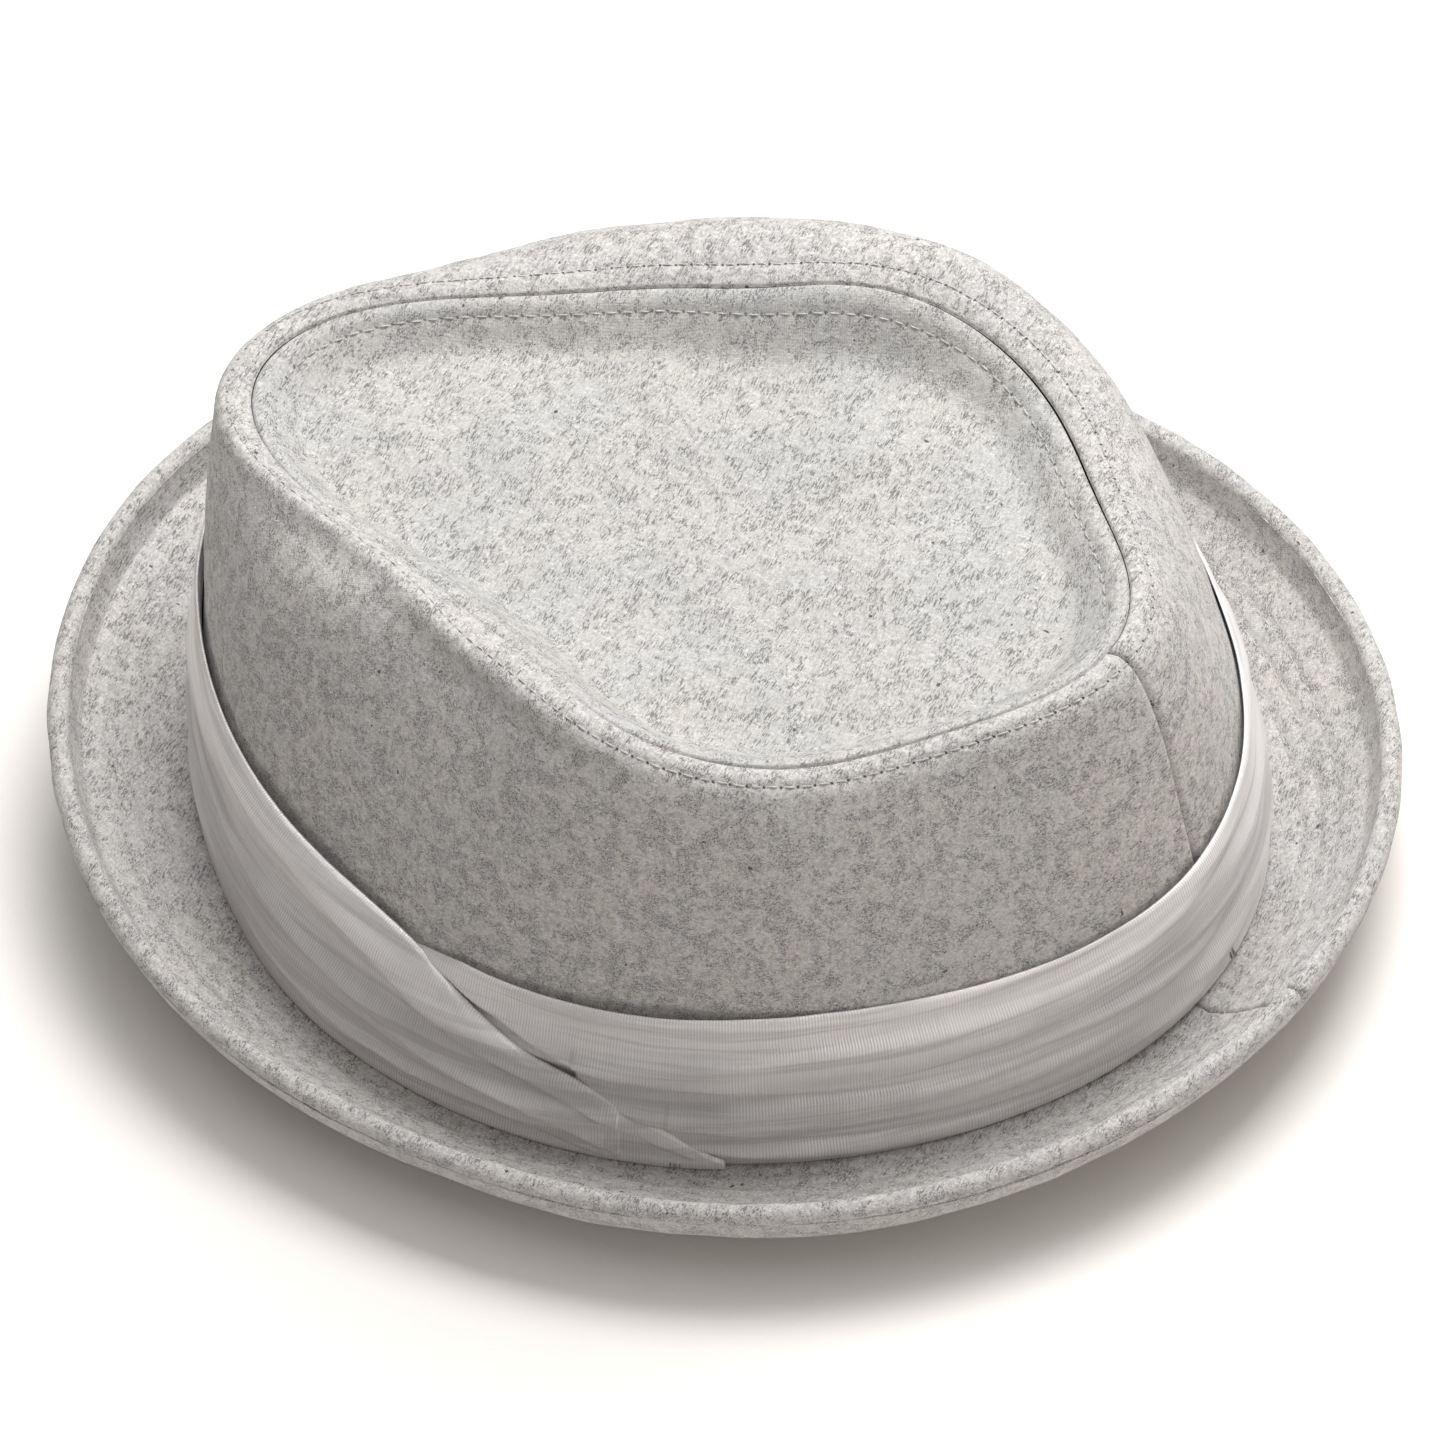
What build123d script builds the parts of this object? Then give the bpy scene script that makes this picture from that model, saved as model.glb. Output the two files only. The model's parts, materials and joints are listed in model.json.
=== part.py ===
from build123d import *
import math
import os

# Diamond-crown stingy-brim hat, cut and sewn from wool felt, with a pleated satin band.
# Frame: +Z up, the wearer's face towards -Y, the wearer's left side towards +X.
# The line where the brim meets the crown is lower at the sides than at the face and the nape,
# so the hat stands on the two sides of its brim, pressed flat there, at Z = 0.
# Millimetres and degrees throughout.

# ---------------------------------------------------------------- driving dimensions
FOOT_HALF_LENGTH = 104.0      # outside of the crown where it meets the brim, front to back
FOOT_HALF_WIDTH = 86.519      # the same, side to side: with the layers inside it, a 57 cm head
BRIM_THICK = 4.2              # both felt layers and the interlining
PRESSED = 0.35                # how much the brim's underside gives where it rests
REST_TILT = -3.9              # degrees about the side-to-side axis: how the hat settles on its two sides
FELT = 1.6                    # face felt
STIFFENER = 0.5
LINING = 0.3
SWEATBAND = 1.0
SWEATBAND_TOP = 30.0          # above the line where the brim meets the crown
SWEATBAND_LOW = -3.4
LAYER_GAP = 0.32              # room between neighbouring layers
SEAM_GAP = 0.12               # half of the slit at each butt seam
THREAD_R = 0.2
THREAD_GAP = 0.4              # thread lies this far off the face it is sewn through
TOPSTITCH_FROM_SEAM = 4.8
TIP_DEPTH = 9.5               # how far the dished tip lies below its rim
TIP_WALL = 17.0               # how far in from the seam the dish reaches its floor
BAND_GAP = 1.0                # satin strip off the felt, over its stay ribbon
BAND_THICK = 1.0              # plain thickness of the pleated strip
BAND_START = -33.0            # where the strip starts, hidden under its own front end
BAND_LIFTS = 306.0            # where the strip begins to ride up over its own start
BAND_END = 25.0               # where its narrow front end is tucked in, one turn later
BAND_OFF_BRIM = 0.4           # lower edge of the band, above the brim
STAY_THICK = 0.35
STAY_GAP = 0.3
LABEL_W, LABEL_H, LABEL_T = 24.0, 30.0, 0.5
LABEL_HINGE_UP = 43.0         # above the line where the brim meets the crown
LIP_IN, LIP_UP = 3.6, 5.3      # the crease on top of the brim lies this far in from and below its edge
EDGE_OF_FOOT = -2.9           # inner edge of the brim, inside the crown's outer face

# Closed curves round the hat. The first list holds the left-right symmetric terms
# (1, sin, cos 2, sin 3, cos 4 ...), the second the slight skew of a soft hat.
FOOT_R = ([0, -0.807, 0, -0.01, -0.056, 0.361], [-1.669, -0.767, 0.561])
FOOT_Z = ([0, 1.387, -4.114, 1.505, 0.716], [0.024])
SEAM_R = ([67.406, -0.366, -13.081, 6.425, 5.022, -0.635, -2.236], [-1.979, 1.069, 1.311, -0.768, 0.492])
SEAM_Z = ([83.459, 1.39, 2.808, -1.564, 1.806, 0.421, 0.396], [1.111, 0.696, -1.216, -0.174])
BRIM_OUT = ([26.182, -1.157, 0.215, 0.807, -0.673], [-0.801, 0.252, 0.114])
BRIM_UP = ([14.987, 2.903, 0.237, -0.702, 0.394], [1.394, -0.852, -0.16])
BAND_TOP = ([39.337, -0.368, -3.329, 2.772], [-0.656])
RIM_REACH = ([18.181, -0.909, 5.933, 0, -1.054], [-1.002])
RIM_LIFT = ([11.284, 0, 2.725], [])        # degrees
WALL_UPRIGHT = ([0.81, -0.263, 0.142], [])
WALL_LEAN = 0.038
STRAIGHT_SIDE = 26.0          # degrees: the middle of the side whose wall runs straight up to a tight shoulder
SHOULDER, SHOULDER_LIFT = 6.6, 15.0        # there, the turn from the seam down into the wall: mm and degrees

STATIONS = 28                 # cross-sections round the hat
PLAN_SHIFT = (1.844, 1.001)  # puts the middle of the plan outline on the Z axis


def wave(th, curve):
    """A closed curve's value at angle th."""
    even, skew = curve
    v = 0.0
    for i, a in enumerate(even):
        v += a * (math.cos(i * th) if i % 2 == 0 else math.sin(i * th))
    for i, a in enumerate(skew, start=1):
        v += a * (math.sin(i * th) if i % 2 == 0 else math.cos(i * th))
    return v


def foot_r(th):
    c, s = math.cos(th), math.sin(th)
    return 1 / math.sqrt((c / FOOT_HALF_WIDTH) ** 2 + (s / FOOT_HALF_LENGTH) ** 2) + wave(th, FOOT_R)


def foot_z(th):
    return wave(th, FOOT_Z)


def foot_point(th):
    r = foot_r(th)
    return r * math.cos(th), r * math.sin(th)


def foot_normal(th):
    """Outward direction in plan where the crown meets the brim."""
    e = 1e-4
    x0, y0 = foot_point(th - e)
    x1, y1 = foot_point(th + e)
    dx, dy = x1 - x0, y1 - y0
    n = math.hypot(dx, dy)
    return dy / n, -dx / n


def straight_side(th):
    """1 in the middle of the straight side, 0 beyond its ends."""
    t = min(max((math.cos(th - math.radians(STRAIGHT_SIDE)) - 0.02) / 0.60, 0.0), 1.0)
    return t * t * (3 - 2 * t)


def band_top(th):
    return wave(th, BAND_TOP) - 3.0 * straight_side(th) * math.cos(th - math.radians(STRAIGHT_SIDE))


def crown_curve(th):
    """Outer face of the crown wall as (radius, z), from below the foot up over the rim to the tip seam."""
    rb, zb, rs, zs = foot_r(th), foot_z(th), wave(th, SEAM_R), wave(th, SEAM_Z)
    reach = max(wave(th, RIM_REACH), 4.0)
    lift = math.radians(wave(th, RIM_LIFT))
    up = wave(th, WALL_UPRIGHT) * (zs - zb)
    w = straight_side(th)
    reach, lift = reach * (1 - w) + SHOULDER * w, lift * (1 - w) + math.radians(SHOULDER_LIFT) * w
    up, lean, pull = up * (1 - w) + 0.62 * (zs - zb) * w, WALL_LEAN * (1 - w) + 0.01 * w, 1 + 1.5 * w
    p = [(rb, zb), (rb - lean * up, zb + up), (rs + reach * math.cos(lift), zs + reach * math.sin(lift)), (rs, zs)]
    out = [(rb, zb - BRIM_THICK - 1.0), (rb, zb - 2.0)]
    steps = 60
    for i in range(steps + 1):
        t = i / steps
        k = ((1 - t) ** 3, 3 * t * (1 - t) ** 2, 3 * t * t * (1 - t) * pull, t ** 3)
        out.append((sum(k[j] * p[j][0] for j in range(4)) / sum(k), sum(k[j] * p[j][1] for j in range(4)) / sum(k)))
    return out


def offset_curve(pts, off):
    """The curve moved inwards by off along its own normal."""
    out = []
    for i in range(len(pts)):
        a, b = pts[max(i - 1, 0)], pts[min(i + 1, len(pts) - 1)]
        dr, dz = b[0] - a[0], b[1] - a[1]
        n = math.hypot(dr, dz)
        out.append((pts[i][0] - off * dz / n, pts[i][1] + off * dr / n))
    return out


def cut_from_z(pts, z0):
    """The part of the curve above height z0 on its way up."""
    for i in range(1, len(pts)):
        if pts[i][1] >= z0:
            a, b = pts[i - 1], pts[i]
            f = (z0 - a[1]) / (b[1] - a[1])
            return [(a[0] + f * (b[0] - a[0]), z0)] + pts[i:]
    return pts


def cut_to_z(pts, z1):
    """The part of the curve below height z1 on its way up."""
    for i in range(1, len(pts)):
        if pts[i][1] >= z1:
            a, b = pts[i - 1], pts[i]
            f = (z1 - a[1]) / (b[1] - a[1])
            return pts[:i] + [(a[0] + f * (b[0] - a[0]), z1)]
    return pts


def lengths(pts):
    s = [0.0]
    for a, b in zip(pts, pts[1:]):
        s.append(s[-1] + math.hypot(b[0] - a[0], b[1] - a[1]))
    return s


def at_length(pts, s, want):
    for i in range(1, len(pts)):
        if s[i] >= want or i == len(pts) - 1:
            f = (want - s[i - 1]) / max(s[i] - s[i - 1], 1e-9)
            a, b = pts[i - 1], pts[i]
            return a[0] + f * (b[0] - a[0]), a[1] + f * (b[1] - a[1])


def resample(pts, n, trim_end=0.0):
    s = lengths(pts)
    total = s[-1] - trim_end
    return [at_length(pts, s, total * i / (n - 1)) for i in range(n)]


def radial(th, rz):
    return Vector(rz[0] * math.cos(th), rz[0] * math.sin(th), rz[1])


def section(side_a, side_b):
    """A closed four-edged outline from two long sides, each a list of points in the same order."""
    def run(p):
        return Spline(*p) if len(p) > 2 else Line(p[0], p[1])
    return Wire([run(side_a), Line(side_a[-1], side_b[-1]), run(side_b[::-1]), Line(side_b[0], side_a[0])])


def round_the_hat(n=STATIONS, gap=SEAM_GAP):
    """Section angles for a strip that goes once round and meets itself at the centre back."""
    g = gap / FOOT_HALF_LENGTH
    a0, a1 = math.pi / 2 + g, math.pi / 2 + 2 * math.pi - g
    step = 2 * math.pi / n
    middle = [math.pi / 2 + step * i for i in range(1, n)]
    return [a0, a0 + 0.3 * step] + middle + [a1 - 0.3 * step, a1]


def strip(make, stations=None):
    return Solid.make_loft([make(th) for th in (stations or round_the_hat())])


# ---------------------------------------------------------------- crown side, layer by layer
def wall_layer(off, thick, z0, z1=None, n=17, trim=0.0):
    def make(th):
        c = crown_curve(th)
        a, b = offset_curve(c, off), offset_curve(c, off + thick)
        zb = foot_z(th)
        a, b = cut_from_z(a, zb + z0), cut_from_z(b, zb + z0)
        if z1 is not None:
            a, b = cut_to_z(a, zb + z1), cut_to_z(b, zb + z1)
        a, b = resample(a, n, trim), resample(b, n, trim)
        return section([radial(th, p) for p in a], [radial(th, p) for p in b])
    return strip(make)


OFF_STIFF = FELT + LAYER_GAP
OFF_LINING = OFF_STIFF + STIFFENER + LAYER_GAP
OFF_SWEAT = OFF_LINING + LINING + LAYER_GAP

parts = {}
parts["crown_side_panel"] = wall_layer(0.0, FELT, 0.06)
parts["crown_side_stiffener"] = wall_layer(OFF_STIFF, STIFFENER, 0.06, trim=1.5)
parts["crown_side_lining"] = wall_layer(OFF_LINING, LINING, 6.0, trim=2.5)
parts["sweatband"] = wall_layer(OFF_SWEAT, SWEATBAND, SWEATBAND_LOW, SWEATBAND_TOP, n=5)


# ---------------------------------------------------------------- crown tip, dished inside its rim
def tip_height(x, y, k=1.0):
    """Height of the tip's outer face. The floor follows the rim's rise and fall, a steady depth below it."""
    th = math.atan2(y, x)
    rs = wave(th, SEAM_R)
    rho = math.hypot(x, y) / rs

    def grow(i):
        # Inside the seam each term dies away towards the middle; outside, it goes on along its slope.
        return rho ** i if rho <= 1 else 1 + i * (rho - 1)
    even, skew = SEAM_Z
    z = 0.0
    for i, a in enumerate(even):
        z += a * grow(i) * (math.cos(i * th) if i % 2 == 0 else math.sin(i * th))
    for i, a in enumerate(skew, start=1):
        z += a * grow(i) * (math.sin(i * th) if i % 2 == 0 else math.cos(i * th))
    t = min(max((1 - rho) * rs / TIP_WALL, 0.0), 1.0)
    fall = t * t * (3 - 2 * t)
    return z - TIP_DEPTH * fall


def ring_angle(y, inset, side):
    """Where the seam ring, drawn in by inset, crosses height y of the plan on one side (+1 is the wearer's left)."""
    lo, hi = -math.pi / 2, math.pi / 2
    for _ in range(60):
        mid = (lo + hi) / 2
        th = mid if side > 0 else math.pi - mid
        if (wave(th, SEAM_R) - inset) * math.sin(th) < y:
            lo = mid
        else:
            hi = mid
    return mid if side > 0 else math.pi - mid


def tip_layer(off, thick, inset, ribs=17, n=13):
    """A dished sheet made of ribs that run from side to side."""
    front = -(wave(-math.pi / 2, SEAM_R) - inset)
    back = wave(math.pi / 2, SEAM_R) - inset
    sections = []
    for j in range(ribs):
        turn = TIP_END + (math.pi - 2 * TIP_END) * j / (ribs - 1)
        y = (front + back) / 2 - (back - front) / 2 * math.cos(turn)
        xr, xl = ((wave(t, SEAM_R) - inset) * math.cos(t) for t in (ring_angle(y, inset, 1), ring_angle(y, inset, -1)))
        xs = [(xl + xr) / 2 - (xr - xl) / 2 * math.cos(math.pi * (0.06 + 0.88 * i / (n - 1))) / math.cos(math.pi * 0.06)
              for i in range(n)]
        top = [Vector(x, y, tip_height(x, y) - off) for x in xs]
        low = [v - Vector(0, 0, thick) for v in top]
        sections.append(section(top, low))
    return Solid.make_loft(sections)


TIP_END = 0.10                # the first and last rib, as an angle from the very ends
TIP_DOWN = 1.18               # a vertical drop is a little more than the gap it leaves on the dish's slope
parts["crown_tip_panel"] = tip_layer(0.0, FELT * TIP_DOWN, 0.5)
parts["crown_tip_stiffener"] = tip_layer((FELT + LAYER_GAP) * TIP_DOWN, STIFFENER * TIP_DOWN, 1.6)
parts["crown_tip_lining"] = tip_layer((FELT + 2 * LAYER_GAP + STIFFENER) * TIP_DOWN, LINING * TIP_DOWN, 2.6)


# ---------------------------------------------------------------- stitching on the crown
def along(th, pts, back_from_seam):
    """Point and outward normal of the crown wall, measured back from the seam."""
    s = lengths(pts)
    want = s[-1] - back_from_seam
    p, q = at_length(pts, s, want), at_length(pts, s, want - 0.5)
    dr, dz = p[0] - q[0], p[1] - q[1]
    n = math.hypot(dr, dz)
    return p, (dr / n, dz / n), (dz / n, -dr / n)


def thread_ring(point, stations=None):
    """A thread laid once round the hat, its two ends a hair apart at the centre back."""
    path = Spline(*[point(th) for th in (stations or round_the_hat())])
    return Solid.sweep(Plane(origin=path @ 0, z_dir=path % 0) * Face(Wire.make_polygon(
        [(THREAD_R * math.cos(k * math.pi / 2), THREAD_R * math.sin(k * math.pi / 2)) for k in range(4)], close=True)), path)


def outer_stitch(th):
    p, t, n = along(th, crown_curve(th), TOPSTITCH_FROM_SEAM)
    up = THREAD_GAP + THREAD_R
    return radial(th, (p[0] + up * n[0], p[1] + up * n[1]))


def inner_stitch(th):
    r = wave(th, SEAM_R) - TOPSTITCH_FROM_SEAM
    x, y = r * math.cos(th), r * math.sin(th)
    return Vector(x, y, tip_height(x, y) + THREAD_GAP + THREAD_R + 0.1)


parts["tip_topstitch_outer"] = thread_ring(outer_stitch)
parts["tip_topstitch_inner"] = thread_ring(inner_stitch, round_the_hat(40))


# ---------------------------------------------------------------- brim
def brim_mid(th):
    """Middle surface of the brim as (distance out from the crown, z): flat at the crown, rising, then the steeper lip."""
    w, h = wave(th, BRIM_OUT), wave(th, BRIM_UP)
    half = BRIM_THICK / 2
    zb = foot_z(th)
    flat_z = zb - half
    kn, kz = w - LIP_IN + 0.9, zb + h - LIP_UP - half + 0.4
    en, ez = w, zb + h
    pts = [(EDGE_OF_FOOT, flat_z), (0.0, flat_z), (3.0, flat_z)]
    slope = (kz - flat_z) / (kn - 3.0)
    for i in range(1, 9):
        t = i / 8
        n = 3.0 + (kn - 3.0) * t
        h00, h10 = 2 * t ** 3 - 3 * t ** 2 + 1, t ** 3 - 2 * t ** 2 + t
        h01, h11 = -2 * t ** 3 + 3 * t ** 2, t ** 3 - t ** 2
        z = h00 * flat_z + h10 * (kn - 3.0) * 0.0 + h01 * kz + h11 * (kn - 3.0) * slope * 1.15
        pts.append((n, z))
    for i in range(1, 5):
        t = i / 4
        n = kn + (en - kn) * (t * 0.75 + 0.25 * t * (2 - t))
        z = kz + (ez - kz) * (t * 0.75 + 0.25 * t * t)
        pts.append((n, z))
    return pts


def brim_point(th, nz):
    x, y = foot_point(th)
    nx, ny = foot_normal(th)
    return Vector(x + nx * nz[0], y + ny * nz[0], nz[1])


def brim_side(th, off, wrap, n=14, upto=1.0, arc_gap=0.06):
    """One face of a brim layer: off above the middle, then wrapped round the edge at that same distance."""
    mid = brim_mid(th)
    s = lengths(mid)
    mid = [at_length(mid, s, s[-1] * upto * i / 23) for i in range(24)]
    side = offset_curve(mid, -off)
    a, b = mid[-2], mid[-1]
    t = (b[0] - a[0], b[1] - a[1])
    m = math.hypot(*t)
    t = (t[0] / m, t[1] / m)
    up = (-t[1], t[0])
    out = resample([(p[0], p[1]) for p in offset_brim(mid, off)], n)
    if wrap:
        r = abs(off)
        sg = 1 if off > 0 else -1
        stop = math.asin(min(arc_gap / r, 0.9))
        for k in range(1, 4):
            ang = math.pi / 2 - (math.pi / 2 - stop) * k / 3
            out.append((b[0] + r * math.cos(ang) * t[0] + sg * r * math.sin(ang) * up[0],
                        b[1] + r * math.cos(ang) * t[1] + sg * r * math.sin(ang) * up[1]))
    return [brim_point(th, p) for p in out]


def offset_brim(pts, off):
    """The brim's middle curve moved up by off along its normal."""
    out = []
    for i in range(len(pts)):
        a, b = pts[max(i - 1, 0)], pts[min(i + 1, len(pts) - 1)]
        dn, dz = b[0] - a[0], b[1] - a[1]
        m = math.hypot(dn, dz)
        out.append((pts[i][0] - off * dz / m, pts[i][1] + off * dn / m))
    return out


HALF = BRIM_THICK / 2
CORE = 0.32
parts["brim_top_panel"] = strip(lambda th: section(brim_side(th, HALF, True), brim_side(th, CORE + LAYER_GAP, True)))
under = strip(lambda th: section(brim_side(th, -HALF, True), brim_side(th, -CORE - LAYER_GAP, True)))
parts["brim_under_panel"] = under
parts["brim_interlining"] = strip(
    lambda th: section(brim_side(th, CORE, False, upto=0.93), brim_side(th, -CORE, False, upto=0.93)))


def brim_stitch(distance):
    def point(th):
        top = offset_brim(brim_mid(th), HALF)
        s = lengths(top)
        p, q = at_length(top, s, distance), at_length(top, s, distance - 0.4)
        dn, dz = p[0] - q[0], p[1] - q[1]
        m = math.hypot(dn, dz)
        up = THREAD_GAP + THREAD_R
        return brim_point(th, (p[0] - up * dz / m, p[1] + up * dn / m))
    return thread_ring(point)


parts["brim_topstitch_threads"] = Compound([brim_stitch(-EDGE_OF_FOOT + d) for d in (5.0, 9.5, 14.0, 18.5)])


# ---------------------------------------------------------------- hatband
def smooth(a, b, x):
    t = min(max((x - a) / (b - a), 0.0), 1.0)
    return t * t * (3 - 2 * t)


def out_point(th, c, z, off):
    """Point standing off the crown's outer face at height z."""
    o = offset_curve(c, -off)
    for i in range(1, len(o)):
        if o[i][1] >= z:
            a, b = o[i - 1], o[i]
            f = (z - a[1]) / (b[1] - a[1])
            return radial(th, (a[0] + f * (b[0] - a[0]), z))


def band_low(th):
    return foot_z(th) + BAND_OFF_BRIM


def band_section(deg):
    th = math.radians(deg)
    c = crown_curve(th)
    over = smooth(BAND_LIFTS, BAND_LIFTS + 18, deg)
    off = BAND_GAP + over * (BAND_THICK + 0.5)
    lo, height = band_low(th), band_top(th) - band_low(th)
    # The front end narrows as it crosses down over the strip's start.
    t = min(max((deg - (360 - 27)) / (BAND_END + 27), 0.0), 1.0)
    hi = lo + height * (1 - 0.92 * (0.25 * t + 0.75 * t * t * (1.6 - 0.6 * t)))
    zs = [lo + (hi - lo) * i / 4 for i in range(5)]
    return section([out_point(th, c, z, off) for z in zs], [out_point(th, c, z, off + BAND_THICK) for z in zs])


degs = [BAND_START] + [18 * i for i in range(-1, 22)] + [360 + BAND_END]
parts["hatband"] = Solid.make_loft([band_section(d) for d in degs])


def stay_section(th):
    c = crown_curve(th)
    lo, hi = band_low(th) + 2.0, band_top(th) - 4.0
    zs = [lo + (hi - lo) * i / 4 for i in range(5)]
    return section([out_point(th, c, z, STAY_GAP) for z in zs], [out_point(th, c, z, STAY_GAP + STAY_THICK) for z in zs])


parts["hatband_backing"] = strip(stay_section)


def tack(deg, z, length, off):
    """A short bar of thread standing upright on the band."""
    th = math.radians(deg)
    c = crown_curve(th)
    a, b = out_point(th, c, z, off), out_point(th, c, z + length, off)
    n = foot_normal(th)
    t = Vector(-n[1], n[0], 0)
    axis = (b - a).normalized()
    pl = Plane(origin=a, x_dir=t, z_dir=axis)
    return pl.location * Solid.make_cylinder(0.25, (b - a).length)


def band_face(deg):
    return BAND_GAP + BAND_THICK + smooth(BAND_LIFTS, BAND_LIFTS + 18, deg) * (BAND_THICK + 0.5) + 0.7


lows = {d: band_low(math.radians(d)) for d in (90, 200, 270, 378)}
parts["hatband_tack_stitches"] = Compound([
    tack(378, lows[378] + 1.0, 3.0, band_face(378)),
    tack(90, lows[90] + 1.0, 3.0, band_face(90)),
    tack(200, lows[200] + 1.0, 3.0, band_face(200)),
    tack(270, lows[270] + 1.0, 3.0, band_face(270)),
])


# ---------------------------------------------------------------- seams inside the hat
def ring_inside(z, off):
    def point(th):
        return radial(th, cut_from_z(offset_curve(crown_curve(th), off + THREAD_GAP + THREAD_R), foot_z(th) + z)[0])
    return thread_ring(point)


parts["sweatband_stitch_thread"] = ring_inside(-1.2, OFF_SWEAT + SWEATBAND)
parts["lining_seam_thread"] = ring_inside(SWEATBAND_TOP + 5.0, OFF_LINING + LINING)

# ---------------------------------------------------------------- care label, hanging at the centre back
inner = offset_curve(crown_curve(math.pi / 2), OFF_LINING + LINING)
label_z = foot_z(math.pi / 2) + LABEL_HINGE_UP
label_y = cut_from_z(inner, label_z + 1.0)[0][0] - 2.4
label = Solid.make_box(LABEL_W, LABEL_T, LABEL_H, Plane(origin=(-LABEL_W / 2, label_y - LABEL_T, label_z - LABEL_H)))
low_corners = [e for e in label.edges().filter_by(Axis.Y) if e.center().Z < label_z - LABEL_H / 2]
label = label.fillet(2.5, low_corners)
parts["care_label"] = label

# ---------------------------------------------------------------- how it stands
settle = Location((0, 0, 0), (REST_TILT, 0, 0))
parts = {name: p.moved(settle) for name, p in parts.items()}
down = parts["brim_under_panel"].bounding_box().min.Z + PRESSED
place = Location((PLAN_SHIFT[0], PLAN_SHIFT[1], -down))
parts = {name: p.moved(place) for name, p in parts.items()}
table = Solid.make_box(400, 400, 60, Plane(origin=(-200, -200, 0)))
parts["brim_under_panel"] = (parts["brim_under_panel"] & table).solids()[0]

os.makedirs("parts", exist_ok=True)
for name, p in parts.items():
    p.label = name
    export_step(p, f"parts/{name}.step")
low = [min(getattr(p.bounding_box().min, k) for p in parts.values()) for k in "XYZ"]
high = [max(getattr(p.bounding_box().max, k) for p in parts.values()) for k in "XYZ"]
hinge = place * settle * Location((0, label_y - LABEL_T / 2, label_z))
print("label hinge", [round(v, 3) for v in hinge.position], "lowered by", round(down, 3))
print("overall", [round(v, 2) for v in low], [round(v, 2) for v in high])
print("centre", [round((a + b) / 2, 3) for a, b in zip(low, high)])
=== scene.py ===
import bpy
import json
import math
import numpy as np
from mathutils import Matrix, Vector


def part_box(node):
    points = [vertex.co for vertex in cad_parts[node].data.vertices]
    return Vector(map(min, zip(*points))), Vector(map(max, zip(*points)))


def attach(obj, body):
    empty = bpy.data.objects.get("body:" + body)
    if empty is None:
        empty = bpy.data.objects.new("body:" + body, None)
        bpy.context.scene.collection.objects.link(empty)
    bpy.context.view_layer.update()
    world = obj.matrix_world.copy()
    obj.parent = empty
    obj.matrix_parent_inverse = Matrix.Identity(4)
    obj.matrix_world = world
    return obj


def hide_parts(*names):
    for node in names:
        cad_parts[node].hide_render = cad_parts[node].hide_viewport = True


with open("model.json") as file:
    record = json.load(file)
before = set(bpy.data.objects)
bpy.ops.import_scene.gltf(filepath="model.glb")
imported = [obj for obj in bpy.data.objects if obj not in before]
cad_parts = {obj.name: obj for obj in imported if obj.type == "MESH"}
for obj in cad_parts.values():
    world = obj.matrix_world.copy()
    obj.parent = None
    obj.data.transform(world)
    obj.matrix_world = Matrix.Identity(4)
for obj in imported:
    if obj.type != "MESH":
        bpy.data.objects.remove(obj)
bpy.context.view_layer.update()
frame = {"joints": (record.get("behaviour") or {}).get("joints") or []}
HAT = "hat"
FLAP = "care_label_flap"
rng = np.random.default_rng(7)

# ------------------------------------------------------------------ the hat's own curves, in mm
TWO_PI = 2 * math.pi
HALF_LENGTH, HALF_WIDTH = 104.0, 86.519
BRIM_THICK, FELT, GAP = 4.2, 1.6, 0.28
OFF_STIFF = FELT + GAP
OFF_LINING = OFF_STIFF + 0.5 + GAP
OFF_SWEAT = OFF_LINING + 0.3 + GAP
TOPSTITCH = 4.8
TIP_DEPTH, TIP_WALL = 8.8, 13.0
LIP_IN, LIP_UP = 3.6, 5.3
EDGE_OF_FOOT = -2.9
FOOT_R = ([0, -0.807, 0, -0.01, -0.056, 0.361], [-1.669, -0.767, 0.561])
FOOT_Z = ([0, 1.387, -4.114, 1.505, 0.716], [0.024])
SEAM_R = ([67.406, -0.366, -13.081, 6.425, 5.022, -0.635, -2.236, 0.658, 0.646], [-1.979, 1.069, 1.311, -0.768, 0.492])
SEAM_Z = ([83.459, 1.39, 2.808, -1.564, 1.806, 0.421, 0.396], [1.111, 0.696, -1.216, -0.174])
BRIM_OUT = ([26.182, -1.157, 0.215, 0.807, -0.673], [-0.801, 0.252, 0.114])
BRIM_UP = ([14.987, 2.903, 0.237, -0.702, 0.394], [1.394, -0.852, -0.16])
BAND_TOP = ([39.337, -0.368, -3.329, 2.772], [-0.656])
RIM_REACH = ([18.181, -0.909, 5.933, 0, -1.054], [-1.002])
RIM_LIFT = ([11.284, 0, 2.725], [])
WALL_UPRIGHT = ([0.81, -0.263, 0.142], [])
WALL_LEAN = 0.038
SHOULDER = 6.6
SHOULDER_LIFT = math.radians(15)
TILT = math.radians(-3.9)
PLACE = np.array([1.844, 1.001, 7.265])
CROWN_SEAM = math.radians(86.9)
BRIM_SEAM = math.radians(83.3)
PITCH = 3.1


def wave(th, curve):
    even, skew = curve
    v = np.zeros_like(th, float)
    for i, a in enumerate(even):
        v = v + a * (np.cos(i * th) if i % 2 == 0 else np.sin(i * th))
    for i, a in enumerate(skew, start=1):
        v = v + a * (np.sin(i * th) if i % 2 == 0 else np.cos(i * th))
    return v


def foot_r(th):
    c, s = np.cos(th), np.sin(th)
    return 1 / np.sqrt((c / HALF_WIDTH) ** 2 + (s / HALF_LENGTH) ** 2) + wave(th, FOOT_R)


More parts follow.
